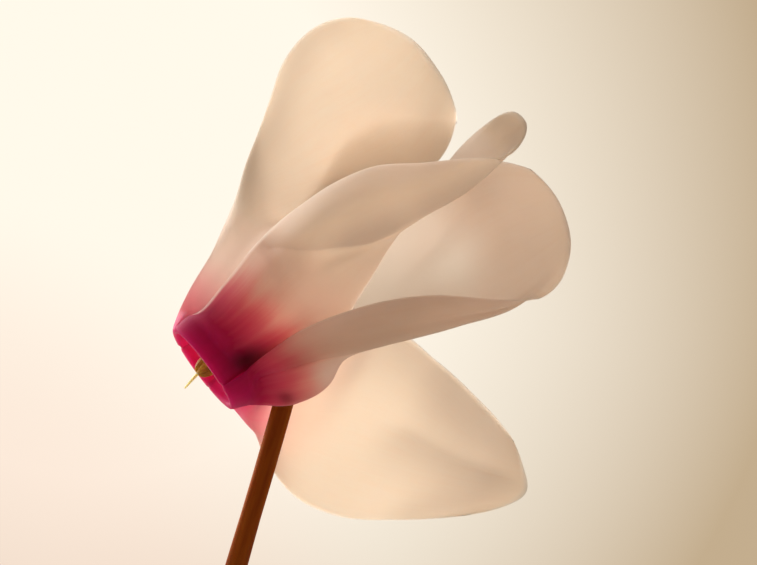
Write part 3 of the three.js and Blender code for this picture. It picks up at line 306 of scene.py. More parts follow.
def stem(path, radii, sides, shape=None, mat=0, cap=True):
    """A round body along a path, closed at both ends by small rings."""
    path = np.asarray(path, float)
    radii = np.broadcast_to(np.asarray(radii, float), (len(path),)).copy()
    if cap:
        t0, t1 = unit(path[1] - path[0]), unit(path[-1] - path[-2])
        r0, r1 = radii[0], radii[-1]
        path = np.vstack([path[0], path[0], path[0] + t0 * r0 * 0.12, path[1:-1], path[-1] - t1 * r1 * 0.3, path[-1] - t1 * r1 * 0.08, path[-1]])
        radii = np.concatenate([[r0 * 0.02, r0 * 0.9, r0], radii[1:-1], [r1, r1 * 0.75, r1 * 0.02]])
    n = len(path)
    tan = np.gradient(path, axis=0)
    for i in range(n):
        if np.linalg.norm(tan[i]) < 1e-6:
            tan[i] = tan[i + 1] if i + 1 < n else tan[i - 1]
    tan /= np.linalg.norm(tan, axis=1, keepdims=True) + 1e-12
    u = V(1, 0, 0) if abs(tan[0][0]) < 0.9 else V(0, 1, 0)
    a = np.linspace(0, 2 * np.pi, sides, endpoint=False)
    rings = []
    for i in range(n):
        u = unit(u - tan[i] * (u @ tan[i]))
        w = np.cross(tan[i], u)
        r = radii[i] * (shape(i / (n - 1), a) if shape else 1.0) * np.ones(sides)
        rings.append(path[i] + np.outer(r * np.cos(a), u) + np.outer(r * np.sin(a), w))
    pts = np.array(rings).reshape(-1, 3)
    d = np.concatenate([[0], np.cumsum(np.linalg.norm(np.diff(path, axis=0), axis=1))])
    at = {"pu": np.repeat(d / d[-1], sides), "len": np.repeat(d, sides), "ang": np.tile(a, n)}
    q = grid_quads(n, sides, 0, wrap=True)
    caps = [list(range(sides))[::-1], [(n - 1) * sides + k for k in range(sides)]]
    return pts, (q, caps), at, mat


def turned(profile, segs, frame_=None, shape=None, mat=0):
    """A body turned about an axis; the profile runs from axis to axis."""
    O, E1, E2, E3 = frame_ if frame_ else (V(0, 0, 0), V(1, 0, 0), V(0, 1, 0), V(0, 0, 1))
    a = np.linspace(0, 2 * np.pi, segs, endpoint=False)
    prof = [p for p in profile]
    rows, prs, pzs = [], [], []
    for i, (r, z) in enumerate(prof):
        r = max(r, 1e-3)
        R, Z = np.full(segs, float(r)), np.full(segs, float(z))
        if shape:
            R, Z = shape(R, Z, a, i)
        rows.append(O + np.outer(R * np.cos(a), E1) + np.outer(R * np.sin(a), E2) + np.outer(Z, E3))
        prs.append(R)
        pzs.append(Z)
    n = len(rows)
    pts = np.array(rows).reshape(-1, 3)
    at = {"pu": np.repeat(np.linspace(0, 1, n), segs), "ang": np.tile(a, n), "pz": np.array(pzs).ravel(), "pr": np.array(prs).ravel()}
    q = grid_quads(n, segs, 0, wrap=True)
    caps = [list(range(segs))[::-1], [(n - 1) * segs + k for k in range(segs)]]
    return pts, (q, caps), at, mat


def make(name, parts, mats, nodes):
    """One Blender piece from mesh parts, standing for CAD nodes."""
    P, F, A, MI, base = [], [], {}, [], 0
    names = sorted({k for p in parts for k in p[2]})
    for pts, quads, at, mi in parts:
        extra = []
        if isinstance(quads, tuple):
            quads, extra = quads
        P.append(pts)
        F += (np.asarray(quads) + base).tolist() + [[v + base for v in c] for c in extra]
        MI += [mi] * (len(quads) + len(extra))
        for k in names:
            A.setdefault(k, []).append(np.asarray(at[k], float) if k in at else np.zeros(len(pts)))
        base += len(pts)
    me = bpy.data.meshes.new(name)
    me.from_pydata((np.concatenate(P) * MM).tolist(), [], F)
    for k in names:
        a = me.attributes.new(k, "FLOAT", "POINT")
        a.data.foreach_set("value", np.concatenate(A[k]).astype(np.float32))
    for m in mats:
        me.materials.append(m)
    me.polygons.foreach_set("material_index", MI)
    bm = bmesh.new()
    bm.from_mesh(me)
    bmesh.ops.recalc_face_normals(bm, faces=bm.faces[:])
    bm.to_mesh(me)
    bm.free()
    me.shade_smooth()
    ob = bpy.data.objects.new(name, me)
    scene.collection.objects.link(ob)
    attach(ob, "root")
    if nodes:
        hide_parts(*nodes)
    return ob


# ---- material building ----------------------------------------------------------------------
class Mat:
    def __init__(self, name):
        self.m = bpy.data.materials.new(name)
        self.m.use_nodes = True
        self.nt = self.m.node_tree
        self.b = self.nt.nodes["Principled BSDF"]

    def n(self, kind, **props):
        x = self.nt.nodes.new(kind)
        for k, v in props.items():
            setattr(x, k, v)
        return x

    def put(self, sock, v):
        if isinstance(v, bpy.types.NodeSocket):
            self.nt.links.new(v, sock)
        elif v is not None:
            if sock.type == "RGBA" and len(v) == 3:
                v = (*v, 1)
            sock.default_value = v

    def attr(self, name):
        x = self.n("ShaderNodeAttribute", attribute_name=name)
        return x.outputs["Fac"]

    def math(self, op, a, b=None, c=None, clamp=False):
        x = self.n("ShaderNodeMath", operation=op, use_clamp=clamp)
        for s, v in zip(x.inputs, (a, b, c)):
            if v is not None:
                self.put(s, v)
        return x.outputs[0]

    def vec(self, x=0.0, y=0.0, z=0.0):
        c = self.n("ShaderNodeCombineXYZ")
        for s, v in zip(c.inputs, (x, y, z)):
            self.put(s, v)
        return c.outputs[0]

    def pos(self):
        return self.n("ShaderNodeTexCoord").outputs["Object"]

    def noise(self, vec, scale, detail=3.0, rough=0.5, dist=0.0):
        x = self.n("ShaderNodeTexNoise")
        self.put(x.inputs["Vector"], vec)
        x.inputs["Scale"].default_value = scale
        x.inputs["Detail"].default_value = detail
        x.inputs["Roughness"].default_value = rough
        x.inputs["Distortion"].default_value = dist
        return x.outputs["Fac"]

    def voronoi(self, vec, scale, feature="F1", out="Distance"):
        x = self.n("ShaderNodeTexVoronoi", feature=feature)
        self.put(x.inputs["Vector"], vec)
        x.inputs["Scale"].default_value = scale
        return x.outputs[out]

    def step(self, x, a, b, lo=0.0, hi=1.0):
        r = self.n("ShaderNodeMapRange", interpolation_type="SMOOTHSTEP")
        for s, v in zip(r.inputs, (x, a, b, lo, hi)):
            self.put(s, v)
        return r.outputs[0]

    def ramp(self, fac, stops, mode="LINEAR"):
        x = self.n("ShaderNodeValToRGB")
        x.color_ramp.interpolation = mode
        e = x.color_ramp.elements
        while len(e) < len(stops):
            e.new(0.5)
        for el, (p, c) in zip(e, stops):
            el.position = p
            el.color = (*c, 1)
        self.put(x.inputs[0], fac)
        return x.outputs[0]

    def mix(self, fac, a, b, kind="MIX"):
        x = self.n("ShaderNodeMix", data_type="RGBA", blend_type=kind)
        self.put(x.inputs[0], fac)
        self.put(x.inputs[6], a)
        self.put(x.inputs[7], b)
        return x.outputs[2]

    def bump(self, height, strength, dist):
        x = self.n("ShaderNodeBump")
        x.inputs["Strength"].default_value = strength
        x.inputs["Distance"].default_value = dist
        self.put(x.inputs["Height"], height)
        self.put(self.b.inputs["Normal"], x.outputs[0])
        return x.outputs[0]

    def set(self, **kw):
        for k, v in kw.items():
            self.put(self.b.inputs[k.replace("_", " ")], v)


def srgb(r, g, b):
    return tuple((c / 255 / 12.92 if c <= 10 else ((c / 255 + 0.055) / 1.055) ** 2.4) for c in (r, g, b))


# ---- materials ------------------------------------------------------------------------------
NEAR_STAIN = [(0.0, (0.74, 0.016, 0.235)), (0.13, (0.62, 0.014, 0.175)), (0.30, (0.54, 0.014, 0.115)), (0.46, (0.73, 0.100, 0.195)), (0.62, (0.83, 0.255, 0.285)), (0.82, (0.90, 0.49, 0.435))]
# the far petals' throat stain: the same blotch, made lighter and pinker as painted light from behind
FAR_STAIN_PAINTED_LIGHT = [(0.0, (0.90, 0.050, 0.33)), (0.10, (0.90, 0.055, 0.31)), (0.24, (0.98, 0.23, 0.42)), (0.42, (0.98, 0.42, 0.50)), (0.62, (0.96, 0.56, 0.57)), (0.80, (0.95, 0.66, 0.62))]


def petal_material(name, blotch, seed, stain_ramp, pale=(0.965, 0.83, 0.735), rose=(0.94, 0.69, 0.61), shade=None, lit_margin=False, depth=0.0010, fold=(0.69, 0.705, 0.72), through_share=0.5):
    m = Mat(name)
    pu, pv, ln = m.attr("pu"), m.attr("pv"), m.attr("len")
    apv = m.math("ABSOLUTE", pv)
    # veins run the length of the petal and spread with it
    broad = m.noise(m.vec(m.math("MULTIPLY", pv, 3.6), m.math("MULTIPLY", ln, 0.05), seed), 1.0, 2, 0.5)
    fine = m.noise(m.vec(m.math("MULTIPLY", pv, 20.0), m.math("MULTIPLY", ln, 0.09), seed + 3.7), 1.0, 3, 0.55, 0.3)
    hair = m.noise(m.vec(m.math("MULTIPLY", pv, 70.0), m.math("MULTIPLY", ln, 0.16), seed + 9.1), 1.0, 2, 0.5, 0.4)
    speck = m.noise(m.vec(m.math("MULTIPLY", pv, 60.0), m.math("MULTIPLY", ln, 2.6), seed), 1.0, 2, 0.5)
    # the stain at the throat is deepest just behind the fold and washes out along the petal
    edge = m.math("ADD", ln, m.math("MULTIPLY", m.math("SUBTRACT", 0.5, broad), 4.0))
    edge = m.math("ADD", edge, m.math("MULTIPLY", m.math("SUBTRACT", 0.5, fine), m.step(ln, 2.0, blotch, 0.0, 1.2)))
    edge = m.math("ADD", edge, m.math("MULTIPLY", m.math("SUBTRACT", 0.5, hair), m.step(ln, 2.0, blotch, 0.0, 1.3)))
    edge = m.math("ADD", edge, m.math("MULTIPLY", m.math("POWER", apv, 3.0), 1.5))
    t = m.math("DIVIDE", edge, blotch * 1.3)
    crest = m.step(m.math("ABSOLUTE", m.math("ADD", ln, 0.10)), 0.30, 0.04)
    body = m.mix(m.step(ln, blotch * 0.8, blotch * 1.9), rose, pale)
    body = m.mix(m.math("MULTIPLY", m.step(fine, 0.42, 0.75), 0.12), body, (0.90, 0.70, 0.60))
    body = m.mix(m.math("MULTIPLY", m.step(hair, 0.45, 0.75), 0.10), body, (0.88, 0.66, 0.55))
    body = m.mix(m.math("MULTIPLY", m.step(speck, 0.55, 0.8), 0.08), body, (0.98, 0.90, 0.82))
    body = m.mix(m.math("MULTIPLY", m.step(pu, 0.86, 1.0), 0.12), body, (0.90, 0.74, 0.58))
    body = m.mix(m.math("MULTIPLY", m.math("MULTIPLY", m.step(apv, 0.90, 1.0), m.step(pu, 0.80, 0.55)), 0.4), body, (0.97, 0.88, 0.79))
    stain = m.ramp(t, stain_ramp, "LINEAR")
    # painted highlight: a thin bright pink line along the crest where the petal folds over at the mouth
    stain = m.mix(m.math("MULTIPLY", crest, 0.65), stain, (0.88, 0.14, 0.30))
    # painted shade: a dark patch in stain and body, for shade in a hollow or a shadow falling on the petal
    if shade:
        at_v, at_l, strength, wide, long = shade
        dv = m.math("DIVIDE", m.math("SUBTRACT", pv, at_v), wide)
        dl = m.math("DIVIDE", m.math("SUBTRACT", ln, at_l), long)
        d = m.math("EXPONENT", m.math("MULTIPLY", m.math("ADD", m.math("MULTIPLY", dv, dv), m.math("MULTIPLY", dl, dl)), -1.0))
        stain = m.mix(m.math("MULTIPLY", d, strength), stain, (0.10, 0.004, 0.014))
        body = m.mix(m.math("MULTIPLY", d, strength), body, (0.30, 0.12, 0.08))
    col = m.mix(m.step(t, 0.52, 1.0), stain, body)
    # painted highlight: a pale band along A's upper margin near the base, pink by the throat and cream further out
    if lit_margin:
        k = m.math("MULTIPLY", m.step(pv, -0.87, -0.96), m.math("MULTIPLY", m.step(ln, 1.2, 4.0), m.step(ln, 17.0, 11.0)))
        col = m.mix(m.math("MULTIPLY", k, 0.75), col, m.mix(m.step(ln, 2.0, 9.0), (0.92, 0.42, 0.44), (0.97, 0.77, 0.67)))
    # painted shade where the petal doubles over or creases, the fold colour multiplied in; where the value is negative,
    # painted light instead, pink near the throat and cream further out
    tone = m.attr("tone")
    col = m.mix(m.math("MAXIMUM", tone, 0.0), col, fold, "MULTIPLY")
    col = m.mix(m.math("MAXIMUM", m.math("MULTIPLY", tone, -1.0), 0.0), col, m.mix(m.step(ln, 3.5, 13.0), (0.995, 0.50, 0.56), (0.999, 0.925, 0.86)))
    m.put(m.b.inputs["Base Color"], col)
    m.set(Roughness=0.55, Subsurface_Weight=1.0, Subsurface_Scale=depth)
    m.b.inputs["Subsurface Radius"].default_value = (1.0, 0.80, 0.68)
    m.b.inputs["Specular IOR Level"].default_value = 0.12
    h = m.math("ADD", m.math("MULTIPLY", fine, 0.6), m.math("ADD", m.math("MULTIPLY", hair, 0.3), m.math("MULTIPLY", speck, 0.2)))
    m.bump(h, 0.35, 0.00010)
    # part of the light goes straight through, so that one petal lights the next
    through, both = m.n("ShaderNodeBsdfTranslucent"), m.n("ShaderNodeMixShader")
    lift = m.n("ShaderNodeGamma")
    m.put(lift.inputs[0], col)
    lift.inputs[1].default_value = 0.62
    m.put(through.inputs["Color"], lift.outputs[0])
    # where painted light is set, a larger share of the light also goes straight through
    m.put(both.inputs[0], m.math("ADD", m.step(ln, 3.0, 9.0, 0.5, through_share), m.math("MULTIPLY", m.math("MAXIMUM", m.math("MULTIPLY", tone, -1.0), 0.0), 0.9 * (1 - through_share))))
    m.put(both.inputs[1], m.b.outputs[0])
    m.put(both.inputs[2], through.outputs[0])
    m.put(m.nt.nodes["Material Output"].inputs["Surface"], both.outputs[0])
    return m.m


def stalk_material(name, dark, light, seed):
    m = Mat(name)
    ln, ang = m.attr("len"), m.attr("ang")
    c, s = m.math("COSINE", ang), m.math("SINE", ang)
    streak = m.noise(m.vec(m.math("MULTIPLY", s, 0.9), m.math("MULTIPLY", c, 0.9), m.math("ADD", m.math("MULTIPLY", ln, 0.05), seed)), 1.6, 3, 0.5)
    fleck = m.noise(m.vec(m.math("MULTIPLY", s, 6.0), m.math("MULTIPLY", c, 6.0), m.math("MULTIPLY", ln, 2.2)), 2.6, 2, 0.5)
    col = m.mix(m.step(streak, 0.30, 0.70), dark, light)
    col = m.mix(m.math("MULTIPLY", m.step(fleck, 0.5, 0.75), 0.15), col, tuple(x * 0.6 for x in dark))
    m.put(m.b.inputs["Base Color"], col)
    m.set(Roughness=0.78, Subsurface_Weight=0.6, Subsurface_Scale=0.0016)
    m.b.inputs["Subsurface Radius"].default_value = (1.0, 0.35, 0.10)
    m.b.inputs["Specular IOR Level"].default_value = 0.06
    m.bump(m.math("ADD", m.math("MULTIPLY", streak, 0.3), m.math("MULTIPLY", fleck, 0.7)), 0.25, 0.00012)
    return m.m


def plain_plant(name, a, b, scale, rough=0.5, sss=0.3, bump=0.0002, radius=(1.0, 0.5, 0.2)):
    m = Mat(name)
    p = m.pos()
    n1, n2 = m.noise(p, scale, 4, 0.6), m.noise(p, scale * 4.1, 3, 0.6)
    col = m.mix(m.step(n1, 0.35, 0.66), a, b)
    col = m.mix(m.math("MULTIPLY", m.step(n2, 0.5, 0.75), 0.3), col, tuple(c * 0.6 for c in a))
    m.put(m.b.inputs["Base Color"], col)
    m.set(Roughness=rough, Subsurface_Weight=sss, Subsurface_Scale=0.001)
    m.b.inputs["Subsurface Radius"].default_value = radius
    m.bump(n2, 0.5, bump)
    return m.m


def leaf_material(seed):
    m = Mat("leaf_marbled_%d" % seed)
    q, phi, vein, lx, ly, side = (m.attr(k) for k in ("q", "phi", "vein", "lx", "ly", "side"))
    p = m.vec(m.math("MULTIPLY", lx, 0.05), m.math("MULTIPLY", ly, 0.05), seed * 3.1)
    n1, n2, n3 = m.noise(p, 1.6, 3, 0.55), m.noise(p, 5.0, 4, 0.6), m.noise(p, 16.0, 3, 0.6)
    f = m.math("ADD", q, m.math("MULTIPLY", m.math("SUBTRACT", n1, 0.5), 0.34))
    f = m.math("ADD", f, m.math("MULTIPLY", m.math("SUBTRACT", n2, 0.5), 0.16))
    f = m.math("ADD", f, m.math("MULTIPLY", vein, 0.06))
    dark, mid, silver = (0.022, 0.082, 0.026), (0.055, 0.15, 0.042), (0.30, 0.40, 0.27)
    ring = m.math("MULTIPLY", m.step(f, 0.46, 0.55), m.step(f, 0.84, 0.70))
    fleck = m.math("MULTIPLY", m.step(n3, 0.50, 0.60), m.step(f, 0.30, 0.48))
    ring = m.math("MAXIMUM", m.math("MULTIPLY", ring, m.step(n3, 0.30, 0.46, 0.55, 1.0)), m.math("MULTIPLY", fleck, 0.35))
    top = m.mix(m.step(f, 0.2, 0.6), dark, mid)
    top = m.mix(ring, top, silver)
    top = m.mix(m.math("MULTIPLY", vein, 0.55), top, (0.10, 0.19, 0.06))
    top = m.mix(m.math("MULTIPLY", m.step(q, 0.95, 1.0), 0.35), top, (0.16, 0.09, 0.05))
    under = m.mix(m.step(n1, 0.35, 0.65), (0.20, 0.055, 0.07), (0.26, 0.13, 0.10))
    under = m.mix(m.math("MULTIPLY", vein, 0.7), under, (0.34, 0.09, 0.09))
    col = m.mix(m.step(side, 0.4, 0.6), top, under)
    m.put(m.b.inputs["Base Color"], col)
    m.set(Roughness=0.42, Subsurface_Weight=0.25, Subsurface_Scale=0.0006)
    m.b.inputs["Subsurface Radius"].default_value = (0.8, 1.0, 0.3)
    m.b.inputs["Specular IOR Level"].default_value = 0.45
    m.bump(m.math("SUBTRACT", m.math("MULTIPLY", n3, 0.4), m.math("MULTIPLY", vein, 0.6)), 0.5, 0.0003)
    return m.m


def terracotta_material():
    m = Mat("terracotta")
    p = m.pos()
    z = m.n("ShaderNodeSeparateXYZ")
    m.put(z.inputs[0], p)
    big, mid, fine, grit = m.noise(p, 14, 4, 0.6), m.noise(p, 60, 4, 0.6), m.noise(p, 420, 3, 0.6), m.voronoi(p, 900)
    col = m.mix(m.step(big, 0.3, 0.7), (0.43, 0.165, 0.075), (0.56, 0.245, 0.125))
    col = m.mix(m.math("MULTIPLY", m.step(mid, 0.48, 0.75), 0.4), col, (0.62, 0.33, 0.20))
    col = m.mix(m.math("MULTIPLY", m.step(fine, 0.5, 0.8), 0.35), col, (0.33, 0.12, 0.06))
    # lime bloom from watering, low on the wall and under the rim band
    low = m.step(z.outputs[2], 0.055, 0.004)
    band = m.math("MULTIPLY", m.step(z.outputs[2], 0.062, 0.082), m.step(z.outputs[2], 0.0845, 0.083))
    lime = m.math("MULTIPLY", m.math("MAXIMUM", low, band), m.step(m.math("ADD", m.math("MULTIPLY", mid, 0.6), m.math("MULTIPLY", big, 0.5)), 0.5, 0.68))
    col = m.mix(m.math("MULTIPLY", lime, 0.5), col, (0.72, 0.60, 0.50))
    # darker towards the bottom of the wall
    darker_low = m.step(z.outputs[2], 0.012, 0.0)
    col = m.mix(m.math("MULTIPLY", darker_low, 0.35), col, (0.22, 0.09, 0.05))
    m.put(m.b.inputs["Base Color"], col)
    m.put(m.b.inputs["Roughness"], m.step(fine, 0.3, 0.7, 0.78, 0.95))
    m.b.inputs["Specular IOR Level"].default_value = 0.25
    turning = m.n("ShaderNodeTexWave", wave_type="BANDS", bands_direction="Z")
    turning.inputs["Scale"].default_value = 95
    turning.inputs["Distortion"].default_value = 1.4
    m.put(turning.inputs["Vector"], p)
    h = m.math("ADD", m.math("MULTIPLY", turning.outputs["Fac"], 0.35), m.math("ADD", m.math("MULTIPLY", fine, 0.5), m.math("MULTIPLY", grit, 0.4)))
    m.bump(h, 0.45, 0.00035)
    return m.m


def earth_material(name, a, b, scale):
    m = Mat(name)
    p = m.pos()
    n1, n2 = m.noise(p, scale, 5, 0.7), m.noise(p, scale * 5, 4, 0.7)
    col = m.mix(m.step(n1, 0.35, 0.66), a, b)
    col = m.mix(m.math("MULTIPLY", m.step(n2, 0.55, 0.8), 0.5), col, tuple(c * 2.0 for c in b))
    m.put(m.b.inputs["Base Color"], col)
    m.set(Roughness=0.95)
    m.b.inputs["Specular IOR Level"].default_value = 0.15
    m.bump(m.math("ADD", n1, n2), 0.8, 0.0006)
    return m.m


M_STALK = stalk_material("stalk_red_brown", (0.22, 0.046, 0.005), (0.31, 0.080, 0.008), 1)
M_STALK2 = stalk_material("stalk_soft_red", (0.16, 0.035, 0.02), (0.34, 0.13, 0.05), 2)
M_PETIOLE = stalk_material("petiole_red", (0.17, 0.035, 0.022), (0.27, 0.12, 0.045), 3)
M_CALYX = plain_plant("calyx_green_brown", (0.13, 0.11, 0.035), (0.24, 0.08, 0.04), 420)
M_CONE = plain_plant("anthers", (0.64, 0.33, 0.006), (0.36, 0.155, 0.006), 900, 0.6, 0.3)
M_STYLE = plain_plant("style", (0.97, 0.88, 0.52), (0.95, 0.82, 0.42), 700, 0.5, 1.0, radius=(1.0, 0.9, 0.6))
M_POT = terracotta_material()
M_COMPOST = earth_material("compost_dark", (0.022, 0.013, 0.008), (0.060, 0.036, 0.021), 210)
M_CORM = earth_material("corm_skin", (0.075, 0.042, 0.024), (0.17, 0.105, 0.060), 150)
M_BARK = earth_material("bark_bits", (0.075, 0.035, 0.016), (0.15, 0.075, 0.035), 300)
M_PERLITE = earth_material("perlite", (0.62, 0.58, 0.52), (0.72, 0.70, 0.66), 500)


# ---- blooms ---------------------------------------------------------------------------------
class Bloom:
    def __init__(self, mouth, axis, up=None):
        self.O, self.AX = np.asarray(mouth, float), unit(np.asarray(axis, float))
        h = unit(V(self.AX[0], self.AX[1], 0))
        self.UP = -h * self.AX[2] + V(0, 0, math.hypot(self.AX[0], self.AX[1])) if up is None else up
        self.FR = np.cross(self.AX, self.UP)

    def at(self, s, r, deg):
        a = math.radians(deg)
        return self.O + self.AX * s + self.FR * (r * math.cos(a)) + self.UP * (r * math.sin(a))

    def frame(self):
        return self.O, self.FR, self.UP, self.AX


def tube_rows(f, a, b, k=1.0, over=0.0, n=5, fold=None):
    """The petal's share of the tube. Shares meet side by side; over lets them slide over one another."""
    e = np.sign(b - a) * -over
    rows = []
    for i, (s, r) in enumerate(TUBE):
        row = []
        for j in range(n):
            q = j / (n - 1)
            sq, rq = (s, r) if fold is None or i < 6 else ((1 - q) * V(*fold[i - 6][0]) + q * V(*fold[i - 6][1]))
            lift = (0.10 if i < 6 else 0.10 + (i - 5) * 0.16) * (1 - 2 * q)
            row.append(f.at(sq * k, (rq + lift) * k, a + e + (b - a - 2 * e) * q))
        rows.append(row)
    return rows


def petal(name, rows, mat, node, nv, dense, thick=0.30, seed=0.0, ripple=0.12, creases=(), thin=None):
    R = len(rows)
    us = np.concatenate([np.linspace(0, 2, 7)[:-1], np.linspace(2, 7, 42)[:-1], np.linspace(7, R - 1, int((R - 8) * dense) + 1)])
    G, x = patch(rows, us, nv)
    crest = np.interp(4.5, us, x)
    ln = np.broadcast_to((x - crest)[:, None], G.shape[:2])
    end = x[-1] - crest
    pv = np.broadcast_to(np.linspace(-1, 1, nv)[None], G.shape[:2])
    n = normals(G)
    # soft swells across the petal, and a faint frill along its margins
    far = smooth(ln / 9)
    swell = noise(np.stack([pv * 2.2 + seed * 5.3, ln / 9.0 + seed, np.full_like(ln, seed * 7.7)], -1))
    frill = noise(np.stack([pv * 1.2 + 9 + seed, ln / 3.2 + seed * 3, np.full_like(ln, 4.1 + seed)], -1)) * np.abs(pv) ** 5
    G = G + n * (far * (ripple * swell + 0.10 * frill))[..., None]
    w = np.linalg.norm(np.diff(G, axis=1), axis=2).sum(1)[:, None] / 2
    # painted shade along creases, and soft bands of painted shade or, where negative, painted light, handed to the
    # material as an attribute; only the valleys are real dents in the petal
    tone = np.zeros_like(ln)
    for f in creases:
        at_row, across = np.array(f["line"]).T
        vc = np.interp(us, at_row, across)[:, None]
        run = np.gradient(vc[:, 0], x)[:, None] * w
        t = (pv - vc) * w / np.sqrt(1 + run * run)
        a0, a1, b1, b0 = f["ends"]
        k = (smooth((us - a0) / (a1 - a0)) * smooth((b0 - us) / (b0 - b1)))[:, None]
        deep, above, below = f.get("valley", (0, 1, 1))
        G = G + V(0, 1, 0) * (deep * k * np.exp(-np.abs(t) / np.where(t < 0, above, below)))[..., None]
        s0, r0, s1, r1 = f.get("tone", (0, 1, 0, 1))
        tone = tone + k * np.where(t < 0, s0 * np.exp(t / r0), s1 + (s0 - s1) * np.exp(-t / 0.3) if s1 == 0 else s1 * np.exp(-t / r1))
        amount, above, below = f.get("soft_painted_shading", (0, 1, 1))
        tone = tone + amount * k * np.exp(-((t / np.where(t < 0, above, below)) ** 2))
    tone = np.minimum(tone, 1)
    d = np.minimum((1 - np.abs(pv)) * w, (x[-1] - x)[:, None])
    half = (thick / 2) * (1 + 0.5 * (1 - smooth(ln / 12)) * (ln > 0)) * (0.2 + 0.8 * smooth(d / 0.7))
    if thin:
        half = half * (1 - thin[1] * smooth((pv - thin[0]) / 0.25) * smooth((ln - 8) / 6))
    return make(name, [sheet(G, half, {"pu": ln / end, "pv": pv, "len": ln, "tone": tone})], [mat], [node])


def calyx(name, f, k, node):
    P = [(0, 7.45), (1.4, 7.42), (2.6, 7.38), (3.6, 6.75), (4.75, 5.6), (5.35, 4.75), (5.75, 3.9), (5.92, 3.82), (6.0, 4.0), (5.75, 5.0), (5.2, 6.4), (4.4, 7.3), (3.4, 8.0), (2.5, 8.6), (1.7, 9.0), (1.2, 9.05), (0, 9.05)]

    def shape(r, z, a, i):
        c = 0.5 + 0.5 * np.cos(5 * a)
        e = {5: 0.5, 6: 1, 7: 1, 8: 1, 9: 0.7, 10: 0.25}.get(i, 0)
        rib = 0.12 * np.cos(5 * a) + 0.05 * np.cos(15 * a)
        return (r - (1 - c) * 0.35 * k * e) * (1 + 0.05 * rib * (i > 8)), z + (1 - c) ** 1.3 * 1.7 * k * e
    prof = [(r * k, s * k) for r, s in P]
    return make(name, [turned(prof, 80, f.frame(), shape)], [M_CALYX], [node])


def cone_part(f, k, out=0.0):
    prof = [(0, 6.5), (1.2, 6.45), (1.75, 6.2), (1.95, 5.2), (1.9, 4.2), (1.7, 3.0), (1.45, 2.0), (1.15, 1.1), (0.85, 0.5), (0.5, 0.22), (0, 0.18)]
    prof = [(r + out * 0.05 * (s < 3) * (r > 0), s - out * min(1, (6.5 - s) / 4.0) ** 2) for r, s in prof]

    def shape(r, z, a, i):
        g = np.abs(np.cos(2.5 * a)) ** 0.55
        return r * (0.80 + 0.20 * g + 0.02 * np.cos(25 * a)), z - 0.35 * g * k * (i > 6)
    return turned([(r * k, s * k) for r, s in prof], 100, f.frame(), shape)


# the tall bloom
at = lambda x, y, z: BLOOM + V(x, y, z)
f1 = Bloom(at(-21.94, 0, -10.81), V(0.78164, 0.21303, 0.58623), V(-0.6, 0, 0.8))
for n, key in enumerate("ABCDE"):
    rows = tube_rows(f1, *SHARE[key], over=1.0, n=len(PETALS[key][0]), fold=FOLD[key]) + [[BLOOM + V(*p) for p in r] for r in PETALS[key]]
    # the pale colour differs a little from petal to petal to even out how light falls on each, painted light and shade;
    # shade paints the dark in A's groove by B and the stalk's shadow on B; B's fold colour gives deeper painted shade
    mat = petal_material("petal_tall_%s" % key, {"A": 13.0, "B": 15.0, "C": 10.8, "D": 12.0, "E": 11.0}[key], 1.0 + 2.3 * n, NEAR_STAIN if key in "AB" else FAR_STAIN_PAINTED_LIGHT,
                         pale={"A": (0.94, 0.820, 0.725), "B": (0.96, 0.812, 0.735), "D": (0.880, 0.797, 0.716), "E": (0.945, 0.89, 0.835)}.get(key, (0.895, 0.810, 0.728)),
                         shade={"A": (0.72, 5.0, 0.85, 0.26, 2.5), "B": (0.76, 8.8, 0.55, 0.20, 1.2)}.get(key), lit_margin=key == "A", depth=0.0010,
                         fold=(0.66, 0.64, 0.62) if key == "B" else (0.69, 0.705, 0.72), through_share=0.8 if key == "E" else 0.5)
    petal("bloom_1_petal_%d_look" % (n + 1), rows, mat, "bloom_1_petal_%d" % (n + 1), 73, 12, seed=1.3 * n + 0.4, creases=FOLDS.get(key, ()), thin={"C": (0.42, 0.84), "E": (-1.4, 0.35)}.get(key))
calyx("bloom_1_calyx_look", f1, 1.0, "bloom_1_calyx")
make("bloom_1_anther_cone_look", [cone_part(f1, 1.0, 0.78)], [M_CONE], ["bloom_1_anther_cone"])
tip, end = f1.O - f1.AX * 0.55, at(-24.2, -0.6, -13.2)
mid = (tip + end) / 2 + V(0.10, 0, 0.12)
path = catmull([tip, mid, end], 24)
make("bloom_1_style_look", [stem(path, np.linspace(0.23, 0.13, 25), 14)], [M_STYLE], ["bloom_1_style"])

P = [V(1.2, -1, on_corm(1.5, 2) + 0.2), V(2.6, -2.5, 135), V(7.5, -5.4, 190), V(14.2, -7.6, 228), V(24.19, -8.8, 264.7),
     at(-14.12, 1.2, -22.8), at(-11.8, 1.3, -14.5), at(-9.9, 1.6, -7.0), at(-10.6, 2.0, -2.6), at(-12.6, 1.8, -2.4), at(-14.55, 1.25, -5.25)]
path = catmull(P, 240)
u = np.linspace(0, 1, 241)
rad = np.where(u > 25 / 34, STALK_R + (STALK_TOP_R - STALK_R) * np.clip((u - 25 / 34) / (3.5 / 34), 0, 1), STALK_R * (1.15 - 0.15 * np.clip(u * 34 / 24, 0, 1)))
lumpy = lambda s, a: 1 + 0.018 * np.sin(3 * a + 9 * s) + 0.012 * np.sin(7 * a - 60 * s)
make("bloom_1_stalk_look", [stem(path, rad, 28, lumpy)], [M_STALK], ["bloom_1_stalk"])


